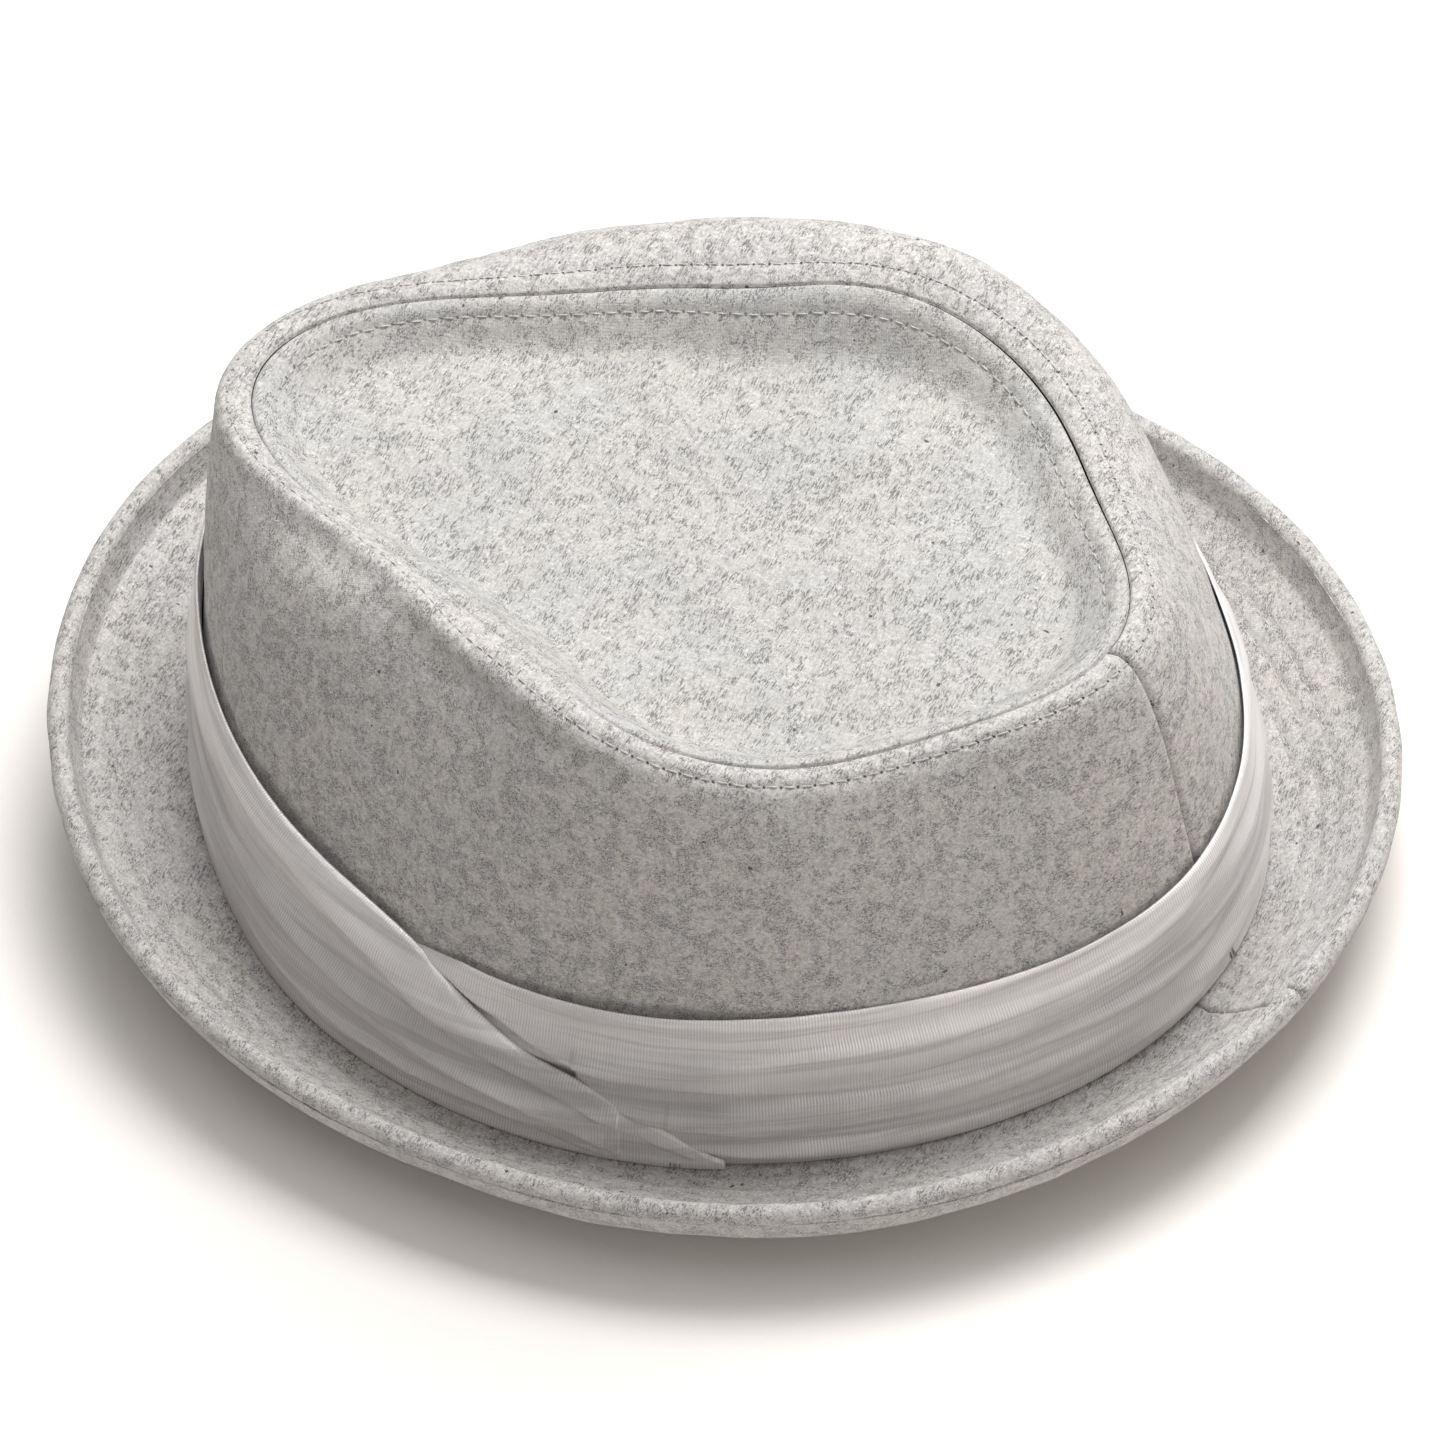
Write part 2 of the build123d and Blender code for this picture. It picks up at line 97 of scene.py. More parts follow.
def foot_frame(th):
    """Point and outward normal in plan on the line where the brim meets the crown."""
    e = 1e-4
    r, r0, r1 = foot_r(th), foot_r(th - e), foot_r(th + e)
    p = np.stack([r * np.cos(th), r * np.sin(th)], -1)
    d = np.stack([r1 * np.cos(th + e) - r0 * np.cos(th - e), r1 * np.sin(th + e) - r0 * np.sin(th - e)], -1)
    d /= np.linalg.norm(d, axis=-1, keepdims=True)
    return p, np.stack([d[..., 1], -d[..., 0]], -1)


def settle(p):
    """From the hat's upright frame in mm to where it stands, in metres."""
    c, s = math.cos(TILT), math.sin(TILT)
    p = np.asarray(p, float)
    q = np.stack([p[..., 0], p[..., 1] * c - p[..., 2] * s, p[..., 1] * s + p[..., 2] * c], -1)
    return (q + PLACE) * 0.001


def turn(v):
    c, s = math.cos(TILT), math.sin(TILT)
    return np.array([v[0], v[1] * c - v[2] * s, v[1] * s + v[2] * c])


def smooth(a, b, x):
    t = np.clip((x - a) / (b - a), 0, 1)
    return t * t * (3 - 2 * t)


def bump(x, width):
    return np.exp(-(x / width) ** 2)


def soft_noise(th, d, seed, low=2, high=9, cross=0.05, count=14):
    """A smooth random field, about -1 to 1, on angle and distance, closed round the hat."""
    g = np.random.default_rng(seed)
    out = 0.0
    for _ in range(count):
        k = g.integers(low, high + 1)
        out = out + np.sin(k * th + g.uniform(-cross, cross) * d * TWO_PI + g.uniform(0, TWO_PI)) * g.uniform(0.5, 1)
    return out / math.sqrt(count) * 1.1


def straight_side(th):
    """How far the wall runs straight up to a tight shoulder: 1 on the wearer's left, 0 on the right."""
    t = np.clip((np.cos(th - math.radians(26)) - 0.02) / 0.60, 0, 1)
    return t * t * (3 - 2 * t)


def band_top(th):
    return wave(th, BAND_TOP) - 3.0 * straight_side(th) * np.cos(th - math.radians(26))


# ------------------------------------------------------------------ mesh helpers
def make_object(name, verts, faces, uvs=None, smooth_faces=True):
    """verts (n, 3) in metres, faces a list of arrays (m, k), uvs matching corner arrays."""
    me = bpy.data.meshes.new(name)
    faces = [np.asarray(f, np.int32) for f in faces if len(f)]
    counts = np.concatenate([np.full(len(f), f.shape[1], np.int32) for f in faces])
    loops = np.concatenate([f.ravel() for f in faces])
    starts = np.concatenate([[0], np.cumsum(counts)[:-1]]).astype(np.int32)
    me.vertices.add(len(verts))
    me.vertices.foreach_set("co", np.asarray(verts, np.float32).ravel())
    me.loops.add(len(loops))
    me.loops.foreach_set("vertex_index", loops)
    me.polygons.add(len(counts))
    me.polygons.foreach_set("loop_start", starts)
    me.polygons.foreach_set("loop_total", counts)
    me.polygons.foreach_set("use_smooth", np.full(len(counts), smooth_faces))
    me.update(calc_edges=True)
    if uvs is not None:
        layer = me.uv_layers.new(name="cloth")
        layer.data.foreach_set("uv", np.concatenate([np.asarray(u, np.float32).reshape(-1, 2) for u in uvs]).ravel())
    me.validate()
    ob = bpy.data.objects.new(name, me)
    bpy.context.scene.collection.objects.link(ob)
    return ob


def grid_faces(nu, nv, close_u, close_v, base=0):
    """Quads of a grid stored as index u * nv + v."""
    u = np.arange(nu if close_u else nu - 1)
    v = np.arange(nv if close_v else nv - 1)
    uu, vv = np.meshgrid(u, v, indexing="ij")
    u1, v1 = (uu + 1) % nu, (vv + 1) % nv
    f = np.stack([uu * nv + vv, u1 * nv + vv, u1 * nv + v1, uu * nv + v1], -1).reshape(-1, 4)
    return f + base


def grid_uvs(U, V, close_u, close_v):
    """Corner values for grid_faces. U and V are (nu + 1, nv + 1) where the grid closes."""
    a = np.stack([U, V], -1)
    f = np.stack([a[:-1, :-1], a[1:, :-1], a[1:, 1:], a[:-1, 1:]], 2)
    return f.reshape(-1, 4, 2)


def surface_normals(P, close_u):
    """Unit normals of a grid of points (nu, nv, 3)."""
    if close_u:
        du = np.roll(P, -1, 0) - np.roll(P, 1, 0)
    else:
        du = np.gradient(P, axis=0)
    dv = np.gradient(P, axis=1)
    n = np.cross(du, dv)
    return n / np.maximum(np.linalg.norm(n, axis=-1, keepdims=True), 1e-12)


def shell_object(name, outer, inner, UVo, close_u, flip=False):
    """A closed sheet from two grids (nu, no, 3) and (nu, ni, 3) in mm. The inner one runs back the other way."""
    nu, no, ni = outer.shape[0], outer.shape[1], inner.shape[1]
    P = np.concatenate([outer, inner], 1)
    nv = no + ni
    faces = grid_faces(nu, nv, close_u, True)
    U, V = UVo
    last = U[:, -1:]
    Ui = np.concatenate([U, np.repeat(last, ni, 1), U[:, :1]], 1)
    vi = np.linspace(0, 1, ni)[None, :]
    Vi = np.concatenate([V, V[:, -1:] * (1 - vi) + V[:, :1] * vi, V[:, :1]], 1)
    uvs = grid_uvs(Ui, Vi, close_u, True)
    if flip:
        faces = faces[:, ::-1]
        uvs = uvs[:, ::-1]
    all_faces, all_uvs = [faces], [uvs]
    if not close_u:
        # The two ends, as strips between the outer and the inner side.
        pair = np.linspace(0, ni - 1, no).round().astype(int)
        for end, order in ((0, 1), (nu - 1, -1)):
            b = end * nv
            quads, tris = [], []
            for i in range(no - 1):
                a0, a1 = b + i, b + i + 1
                c0, c1 = b + no + (ni - 1 - pair[i]), b + no + (ni - 1 - pair[i + 1])
                if c0 == c1:
                    tris.append([a0, a1, c0])
                else:
                    quads.append([a0, a1, c1, c0])
            for kind in (quads, tris):
                if kind:
                    k = np.array(kind)
                    if (order < 0) != flip:
                        k = k[:, ::-1]
                    all_faces.append(k)
                    all_uvs.append(np.zeros((len(k), k.shape[1], 2)))
    return make_object(name, settle(P).reshape(-1, 3), all_faces, all_uvs)


def ring_shell(name, outer, inner, U, V, close_u=True, flip=False):
    return shell_object(name, outer, inner, (U, V), close_u, flip)


def tube_segments(centres, side, up, radius, sides=6):
    """Many small tubes. centres (k, m, 3), side and up (k, m, 3) unit vectors, radius (k, m)."""
    k, m = centres.shape[:2]
    a = np.arange(sides) / sides * TWO_PI
    ring = (np.cos(a)[None, None, :, None] * side[:, :, None, :] + np.sin(a)[None, None, :, None] * up[:, :, None, :])
    P = centres[:, :, None, :] + ring * radius[:, :, None, None]
    verts = P.reshape(-1, 3)
    base = (np.arange(k) * m * sides)[:, None, None]
    i = np.arange(m - 1)[None, :, None] * sides
    j = np.arange(sides)[None, None, :]
    j1 = (j + 1) % sides
    f = np.stack([base + i + j, base + i + j1, base + i + sides + j1, base + i + sides + j], -1).reshape(-1, 4)
    cap0 = (np.arange(k) * m * sides)[:, None] + np.arange(sides)[None, ::-1]
    cap1 = (np.arange(k) * m * sides + (m - 1) * sides)[:, None] + np.arange(sides)[None, :]
    return verts, [f, cap0, cap1]


def stitch_row(P, N, pitch, radius=0.2, rise=0.14, sink=0.55, cover=0.84, closed=True, jitter=0.04, phase=0.0, count=None):
    """Stitches of one row. P (n, 3) and N (n, 3) in mm along the row. Returns verts, faces."""
    if closed:
        P, N = np.concatenate([P, P[:1]]), np.concatenate([N, N[:1]])
    s = np.concatenate([[0], np.cumsum(np.linalg.norm(np.diff(P, axis=0), axis=1))])
    total = s[-1]
    n = count or int(round(total / pitch))
    g = np.random.default_rng(11 + n)
    a = np.linspace(0, 1, 9)
    start = (np.arange(n) + phase) / n
    idx = (start[:, None] + (0.5 + (a[None, :] - 0.5) * cover) / n) % 1.0
    # The row's own fraction of length is taken on the sampled columns, so that holes and stitches agree.
    want = idx * total
    pos = np.stack([np.interp(want, s, P[:, c]) for c in range(3)], -1)
    nor = np.stack([np.interp(want, s, N[:, c]) for c in range(3)], -1)
    nor /= np.linalg.norm(nor, axis=-1, keepdims=True)
    arch = np.sin(np.pi * a) ** 0.6
    h = -sink + (sink + rise) * arch[None, :] + g.normal(0, jitter, (n, 1))
    pos = pos + nor * h[..., None]
    tan = np.gradient(pos, axis=1)
    tan /= np.linalg.norm(tan, axis=-1, keepdims=True)
    side = np.cross(tan, nor)
    side /= np.linalg.norm(side, axis=-1, keepdims=True)
    pos = pos + side * (g.normal(0, jitter, (n, 1)) + 0.10 * (a[None, :] - 0.5))[..., None]
    up = np.cross(side, tan)
    rad = radius * (0.75 + 0.25 * np.sin(np.pi * a))[None, :] * np.ones((n, 1))
    return tube_segments(pos, side, up, rad)


def join_parts(parts):
    verts, faces, base = [], [], 0
    for v, fs in parts:
        verts.append(v)
        faces += [f + base for f in fs]
        base += len(v)
    # Faces of one size together.
    by = {}
    for f in faces:
        by.setdefault(f.shape[1], []).append(f)
    return np.concatenate(verts), [np.concatenate(v) for v in by.values()]


# ------------------------------------------------------------------ crown wall
K_WALL = 221


def wall_curves(th):
    """The crown wall from the tip seam down: radius, height and length from the seam, each (n, K)."""
    rb, zb = foot_r(th)[:, None], wave(th, FOOT_Z)[:, None]
    rs, zs = wave(th, SEAM_R)[:, None], wave(th, SEAM_Z)[:, None]
    reach = np.maximum(wave(th, RIM_REACH), 4.0)[:, None]
    lift = np.radians(wave(th, RIM_LIFT))[:, None]
    up = wave(th, WALL_UPRIGHT)[:, None] * (zs - zb)
    w = straight_side(th)[:, None]
    reach, lift = reach * (1 - w) + SHOULDER * w, lift * (1 - w) + SHOULDER_LIFT * w
    up = up * (1 - w) + 0.62 * (zs - zb) * w
    lean = WALL_LEAN * (1 - w) + 0.01 * w
    pull = 1 + 1.5 * w
    t = np.linspace(1, 0, K_WALL - 20)[None, :]
    k = ((1 - t) ** 3, 3 * t * (1 - t) ** 2, 3 * t * t * (1 - t) * pull, t ** 3)
    pr = (rb, rb - lean * up, rs + reach * np.cos(lift), rs)
    pz = (zb, zb + up, zs + reach * np.sin(lift), zs)
    total = k[0] + k[1] + k[2] + k[3]
    r = sum(a * b for a, b in zip(k, pr)) / total
    z = sum(a * b for a, b in zip(k, pz)) / total
    low = np.linspace(0.2, 5.0, 20)[None, :]
    r = np.concatenate([r, np.repeat(rb, 20, 1)], 1)
    z = np.concatenate([z, zb - low], 1)
    s = np.concatenate([np.zeros((len(th), 1)), np.cumsum(np.hypot(np.diff(r, axis=1), np.diff(z, axis=1)), 1)], 1)
    foot = s[:, K_WALL - 21]
    return r, z, s, foot


def wall_points(th, d, off):
    """Points (n, m, 3) at distance d from the seam, off mm outwards. d is (m,) or (n, m), off broadcasts to it."""
    r, z, s, _ = wall_curves(th)
    d = np.broadcast_to(d, (len(th), np.shape(d)[-1]))
    off = np.broadcast_to(off, d.shape)
    R, Z, Tr, Tz = (np.empty(d.shape) for _ in range(4))
    for i in range(len(th)):
        R[i], Z[i] = np.interp(d[i], s[i], r[i]), np.interp(d[i], s[i], z[i])
        Tr[i] = np.interp(d[i] + 0.6, s[i], r[i]) - np.interp(d[i] - 0.6, s[i], r[i])
        Tz[i] = np.interp(d[i] + 0.6, s[i], z[i]) - np.interp(d[i] - 0.6, s[i], z[i])
    m = np.hypot(Tr, Tz)
    R, Z = R - Tz / m * off, Z + Tr / m * off
    return np.stack([R * np.cos(th)[:, None], R * np.sin(th)[:, None], Z], -1)


def wall_at_height(th, zq, off):
    """Points on the wall at height zq (n, m), off mm outwards. Returns points and distance from the seam."""
    r, z, s, _ = wall_curves(th)
    zq = np.broadcast_to(zq, (len(th), np.shape(zq)[-1]))
    D = np.empty(zq.shape)
    for i in range(len(th)):
        top = int(np.argmax(z[i]))
        D[i] = np.interp(-zq[i], -z[i][top:], s[i][top:])
    return wall_points(th, D, off), D


def open_angles(n, seam, gap_mm=0.12):
    g = gap_mm / HALF_LENGTH
    return seam + g + (TWO_PI - 2 * g) * np.arange(n + 1) / n


def softness(th, d):
    """Slow unevenness of the hand-formed felt, in mm."""
    fade = smooth(2, 16, d)
    return fade * (0.45 * soft_noise(th, d, 3, 2, 6, 0.010) + 0.16 * soft_noise(th, d, 5, 8, 22, 0.035, 24)
                   + 0.05 * soft_noise(th, d, 8, 30, 70, 0.10, 30))


NT = 760
th = open_angles(NT, CROWN_SEAM)
_, _, _, foot_len = wall_curves(th)
near = np.array([0, .1, .25, .42, .62, .85, 1.15, 1.5, 2.0, 2.6, 3.2, 3.7, 4.1, 4.45, 4.8, 5.15, 5.5, 5.9, 6.5, 7.3, 8.3, 9.5, 11, 12.5, 14])
visible = np.linspace(0, 1, 40)[1:]
hidden = np.linspace(0, 1, 10)[1:]
edge_of_visible = foot_len - 33.0
d = np.concatenate([np.repeat(near[None], NT + 1, 0), 14 + (edge_of_visible - 14)[:, None] * visible[None],
                    edge_of_visible[:, None] + (foot_len - 0.1 - edge_of_visible)[:, None] * hidden[None]], 1)
tt = th[:, None]
# Stitches are counted round the outer row, so that holes fall between them.
row = wall_points(th, np.array([TOPSTITCH]), 0.0)[:, 0]
row_s = np.concatenate([[0], np.cumsum(np.linalg.norm(np.diff(row, axis=0), axis=1))])
n_outer = int(round(row_s[-1] / PITCH))
count_outer = row_s / row_s[-1] * n_outer
frac = np.abs((count_outer[:, None] + 0.5) % 1 - 0.5) * PITCH
ridge = smooth(math.radians(-100), math.radians(-62), (tt + math.pi) % TWO_PI - math.pi) * (1 - smooth(math.radians(-14), math.radians(12), (tt + math.pi) % TWO_PI - math.pi))
relief = (-0.62 * bump(d, 0.32) - 0.30 * bump(d, 1.5)) * (1 - 0.72 * ridge)
relief += 0.12 * bump(d - 2.7, 1.1) + 2.6 * ridge * bump(d - 6.0, 3.4)
relief += -0.22 * bump(d - TOPSTITCH, 0.7) * (0.72 + 0.28 * np.exp(-(frac / 0.7) ** 2))
relief += 0.06 * bump(d - 7.2, 1.4)
relief += 0.07 * np.sin(TWO_PI * count_outer[:, None] / 2.7 + 3 * np.sin(count_outer[:, None] * 0.21)) * bump(d - 4.0, 3.4)
x = (tt - CROWN_SEAM + math.pi) % TWO_PI - math.pi
x = x * np.hypot(*np.moveaxis(wall_points(th, d, 0.0)[..., :2], -1, 0))
relief += -0.70 * bump(x, 0.40) + 0.16 * bump(np.abs(x) - 1.5, 1.0)
side_outer = wall_points(th, d, relief + softness(tt, d))
side_N = surface_normals(side_outer, False)
inner_d = np.concatenate([np.array([0.6, 2.0, 5.0, 9.0, 14.0])[None].repeat(NT + 1, 0),
                          14 + (foot_len - 0.1 - 14)[:, None] * np.linspace(0, 1, 12)[None, 1:]], 1)[:, ::-1]
side_inner = wall_points(th, inner_d, -FELT + softness(tt, inner_d))
Uc = count_outer[:, None].repeat(d.shape[1], 1)
crown_side = ring_shell("felt_crown_side", side_outer, side_inner, Uc, d, close_u=False, flip=False)

plain = crown_side.data.attributes.new("plain", "FLOAT", "POINT")
fade = np.concatenate([(ridge * 0.85).repeat(d.shape[1], 1), np.zeros((NT + 1, inner_d.shape[1]))], 1)
plain.data.foreach_set("value", fade.astype(np.float32).ravel())

row_i = 14
verts, faces = join_parts([stitch_row(side_outer[:, row_i], -side_N[:, row_i] if side_N[0, 60] @ side_outer[0, 60] < 0 else side_N[:, row_i],
                                      PITCH, closed=False, count=n_outer)])
crown_row = make_object("topstitch_outer", settle(verts), faces)


# ------------------------------------------------------------------ crown tip
def tip_height(th, r):
    """Height of the tip's outer face at angle th and radius r, both arrays of one shape."""
    rs = wave(th, SEAM_R)
    rho = r / rs
    z = np.zeros_like(rho)
    even, skew = SEAM_Z
    for i, a in enumerate(even):
        z = z + a * np.where(rho <= 1, rho ** i, 1 + i * (rho - 1)) * (np.cos(i * th) if i % 2 == 0 else np.sin(i * th))
    for i, a in enumerate(skew, start=1):
        z = z + a * np.where(rho <= 1, rho ** i, 1 + i * (rho - 1)) * (np.sin(i * th) if i % 2 == 0 else np.cos(i * th))
    t = np.clip((1 - rho) * rs / TIP_WALL, 0, 1)
    fall = t * t * (3 - 2 * t)
    # The floor is slightly domed: it falls away towards the wearer's left.
    s = np.clip(r * np.cos(th - math.radians(26)) + 40, 0, None)
    return z - (TIP_DEPTH - 1.2 + 0.00032 * s * s) * fall


NTIP = 720
tt1 = np.arange(NTIP) / NTIP * TWO_PI
near_t = np.array([0, .1, .25, .42, .62, .85, 1.15, 1.5, 2.0, 2.6, 3.2, 3.7, 4.1, 4.45, 4.8, 5.15, 5.5, 5.9, 6.5, 7.3, 8.3, 9.5, 11, 12.5, 14, 15.5, 17])
rs1 = wave(tt1, SEAM_R)
inward = np.concatenate([np.repeat(near_t[None], NTIP, 0), 17 + (rs1 - 17 - 0.6)[:, None] * (1 - (1 - np.linspace(0, 1, 26)[None, 1:]) ** 1.15)], 1)
tip_r = rs1[:, None] - 0.03 - inward
tip_th = tt1[:, None].repeat(inward.shape[1], 1)


def tip_surface(relief_t, down=0.0):
    z = tip_height(tip_th, tip_r)
    P = np.stack([tip_r * np.cos(tip_th), tip_r * np.sin(tip_th), z], -1)
    N = surface_normals(P, True)
    N *= np.sign(N[..., 2:3])
    return P + N * (relief_t - down)[..., None], N


base_tip, _ = tip_surface(np.zeros_like(tip_r))
row_t = base_tip[:, 14]
row_ts = np.concatenate([[0], np.cumsum(np.linalg.norm(np.diff(np.concatenate([row_t, row_t[:1]]), axis=0), axis=1))])
n_inner = int(round(row_ts[-1] / PITCH))
count_inner = row_ts / row_ts[-1] * n_inner
frac_t = np.abs((count_inner[:-1, None] + 0.5) % 1 - 0.5) * PITCH
X, Y = base_tip[..., 0], base_tip[..., 1]
flatness = smooth(6, 26, inward)
on_side = (tt1[:, None] + math.pi) % TWO_PI - math.pi
ridge_t = smooth(math.radians(-100), math.radians(-62), on_side) * (1 - smooth(math.radians(-14), math.radians(12), on_side))
relief_t = (-0.62 * bump(inward, 0.32) - 0.30 * bump(inward, 1.5)) * (1 - 0.72 * ridge_t) + 0.10 * bump(inward - 2.7, 1.1)
relief_t += -0.16 * bump(inward - TOPSTITCH, 0.7) * (0.72 + 0.28 * np.exp(-(frac_t / 0.7) ** 2)) + 0.05 * bump(inward - 7.2, 1.4)
relief_t += 0.07 * np.sin(TWO_PI * count_inner[:-1, None] / 2.9 + 3 * np.sin(count_inner[:-1, None] * 0.17)) * bump(inward - 4.0, 3.4)
for fx, fy, ph, am in ((0.031, 0.012, 0.3, 0.40), (-0.018, 0.027, 1.9, 0.32), (0.052, -0.041, 4.1, 0.16), (0.075, 0.063, 2.2, 0.10),
                       (0.16, -0.12, 0.9, 0.05), (0.21, 0.19, 5.0, 0.04), (-0.27, 0.14, 3.3, 0.03)):
    relief_t = relief_t + am * np.sin(TWO_PI * (fx * X + fy * Y) + ph) * flatness
tip_outer, tip_N = tip_surface(relief_t)
sub = np.array([1, 7, 14, 20, 24, 26] + list(range(29, inward.shape[1] - 1, 4)) + [inward.shape[1] - 1])
tip_in_full, _ = tip_surface(relief_t * flatness, FELT)
tip_inner = tip_in_full[:, sub][:, ::-1]


def tip_piece(name, outer, inner, counts, dist):
    """Closed dished sheet: outer face from the seam to the middle, inner face back out."""
    nu, no, ni = outer.shape[0], outer.shape[1], inner.shape[1]
    P = np.concatenate([outer, inner], 1)
    nv = no + ni
    faces = grid_faces(nu, nv, True, True)
    v_index = (faces[:, 0] % nv)
    keep = v_index != no - 1          # no wall between the two faces at the middle: two caps close them
    U = np.concatenate([counts[:, None]] * (nv + 1), 1)
    V = np.concatenate([dist, np.full((nu, ni + 1), 40.0)], 1)
    V = np.concatenate([V, V[:1]], 0)
    uvs = grid_uvs(U, V, True, True)
    cap_top = (np.arange(nu) * nv + no - 1)[None, :]
    cap_low = (np.arange(nu) * nv + no)[None, ::-1]
    return make_object(name, settle(P).reshape(-1, 3), [faces[keep], cap_top, cap_low],
                       [uvs[keep], np.full((1, nu, 2), 60.0), np.full((1, nu, 2), 60.0)])


crown_tip = tip_piece("felt_crown_tip", tip_outer, tip_inner, count_inner, inward)
verts, faces = stitch_row(tip_outer[:, 14], tip_N[:, 14], PITCH, count=n_inner)
tip_row = make_object("topstitch_inner", settle(verts), faces)


def plain_tip(name, down, thick, inset):
    z_rows = np.array([14, 18, 22, 24, 26] + list(range(28, inward.shape[1] - 1, 3)) + [inward.shape[1] - 1])
    if inset < 3:
        z_rows = np.concatenate([[8], z_rows])
    a, _ = tip_surface(relief_t * flatness, down)
    b, _ = tip_surface(relief_t * flatness, down + thick)
    a, b = a[::3][:, z_rows], b[::3][:, z_rows][:, ::-1]
    return tip_piece(name, a, b, np.append(tt1[::3], TWO_PI) * 60, inward[::3][:, z_rows])


tip_stiff = plain_tip("tip_stiffener", FELT + GAP, 0.5, 2)
tip_lining = plain_tip("tip_lining", FELT + 0.5 + 2 * GAP, 0.3, 2)


# ------------------------------------------------------------------ layers inside the crown
def wall_layer(name, off, thick, from_seam, up_to, n=360, rows=30, gathers=0.0, close=False, seam=CROWN_SEAM, lean=None):
    """A sheet inside the crown wall. up_to is how far above the foot it ends."""
    t = open_angles(n, seam, 0.25)
    _, _, _, fl = wall_curves(t)
    q = np.linspace(0, 1, rows)[None]
    end = (fl - up_to)[:, None]
    dd = from_seam + (end - from_seam) * q
    g = gathers * (0.6 * np.sin(t[:, None] * 61 + 2.0 * np.sin(t[:, None] * 7)) + 0.4 * np.sin(t[:, None] * 97 + 1.3)) * np.exp(-q * 2.2)
    s = softness(t[:, None], dd)
    extra = 0.0 if lean is None else lean(q)
    a = wall_points(t, dd, -off + s + g * 0.4 - np.abs(g) + extra)
    b = wall_points(t, dd, -off - thick + s + g * 0.4 - np.abs(g) + extra)[:, ::-1]
    length = t * 92.0
    return ring_shell(name, a, b, length[:, None].repeat(rows, 1), dd, close_u=close), a, b, t, dd


side_stiff, *_ = wall_layer("side_stiffener", OFF_STIFF, 0.5, 2.0, 0.2)
side_lining, lin_a, lin_b, lin_t, lin_d = wall_layer("side_lining", OFF_LINING, 0.3, 2.6, 6.0, n=720, rows=44, gathers=0.35)
sweat, sw_a, sw_b, sw_t, sw_d = wall_layer("sweatband_cloth_band", OFF_SWEAT, 1.0, 60.0, -3.2, n=480, rows=26)
bpy.data.objects.remove(sweat)


def sweatband():
    n = 540
    t = open_angles(n, BRIM_SEAM, 0.6)
    _, _, _, fl = wall_curves(t)
    q = np.concatenate([np.linspace(0, 0.06, 5), np.linspace(0.1, 0.94, 16), np.linspace(0.97, 1, 4)])[None]
    dd = (fl - 30.0)[:, None] + (30.0 + 3.2) * q
    s = softness(t[:, None], dd)
    puff = 0.22 * np.sin(t[:, None] * 3 + 0.4) * np.sin(q * math.pi) + 0.10 * soft_noise(t[:, None], dd, 21, 9, 30, 0.03, 18) * np.sin(q * math.pi)
    fold = 0.30 * bump(q - 0.0, 0.05)
    a = wall_points(t, dd, -OFF_SWEAT + s + puff - fold)
    b = wall_points(t, dd, -OFF_SWEAT - 1.0 + s + puff + fold - 0.28 * bump(q - 0.90, 0.018) - 0.22 * bump(q - 0.075, 0.02))
    length = t * 92.0
    ob = ring_shell("sweatband_band", a, b[:, ::-1], length[:, None].repeat(q.shape[1], 1), dd - (fl - 30.0)[:, None], close_u=False)
    return ob, a, b, t, dd


sweat, sw_a, sw_b, sw_t, sw_d = sweatband()


def inward_normals(P):
    n = surface_normals(P, False)
    flat = np.stack([P[..., 0], P[..., 1], np.zeros(P.shape[:2])], -1)
    s = -np.sign((n * flat).sum(-1, keepdims=True))
    return n * s


sw_n = inward_normals(sw_b)
k_low, k_top = 21, 4
verts, faces = join_parts([stitch_row(sw_b[:, k_low], sw_n[:, k_low], 3.0, closed=False, radius=0.2),
                           stitch_row(sw_b[:, k_top], sw_n[:, k_top], 2.6, closed=False, radius=0.16)])
sweat_row = make_object("sweatband_stitching", settle(verts), faces)


def lining_seam():
    n = 600
    t = open_angles(n, CROWN_SEAM, 0.4)
    _, _, _, fl = wall_curves(t)
    dd = (fl - 34.8)[:, None]
    P = wall_points(t, dd, -OFF_LINING - 0.3 + softness(t[:, None], dd))[:, 0]
    c = np.stack([-np.cos(t), -np.sin(t), np.zeros_like(t)], -1)
    return stitch_row(P, c, 2.8, closed=False, radius=0.17, rise=0.12, sink=0.25)


verts, faces = join_parts([lining_seam()])
lining_row = make_object("lining_stitching", settle(verts), faces)


# ------------------------------------------------------------------ brim
NB = 900
thb = open_angles(NB, BRIM_SEAM, 0.10)


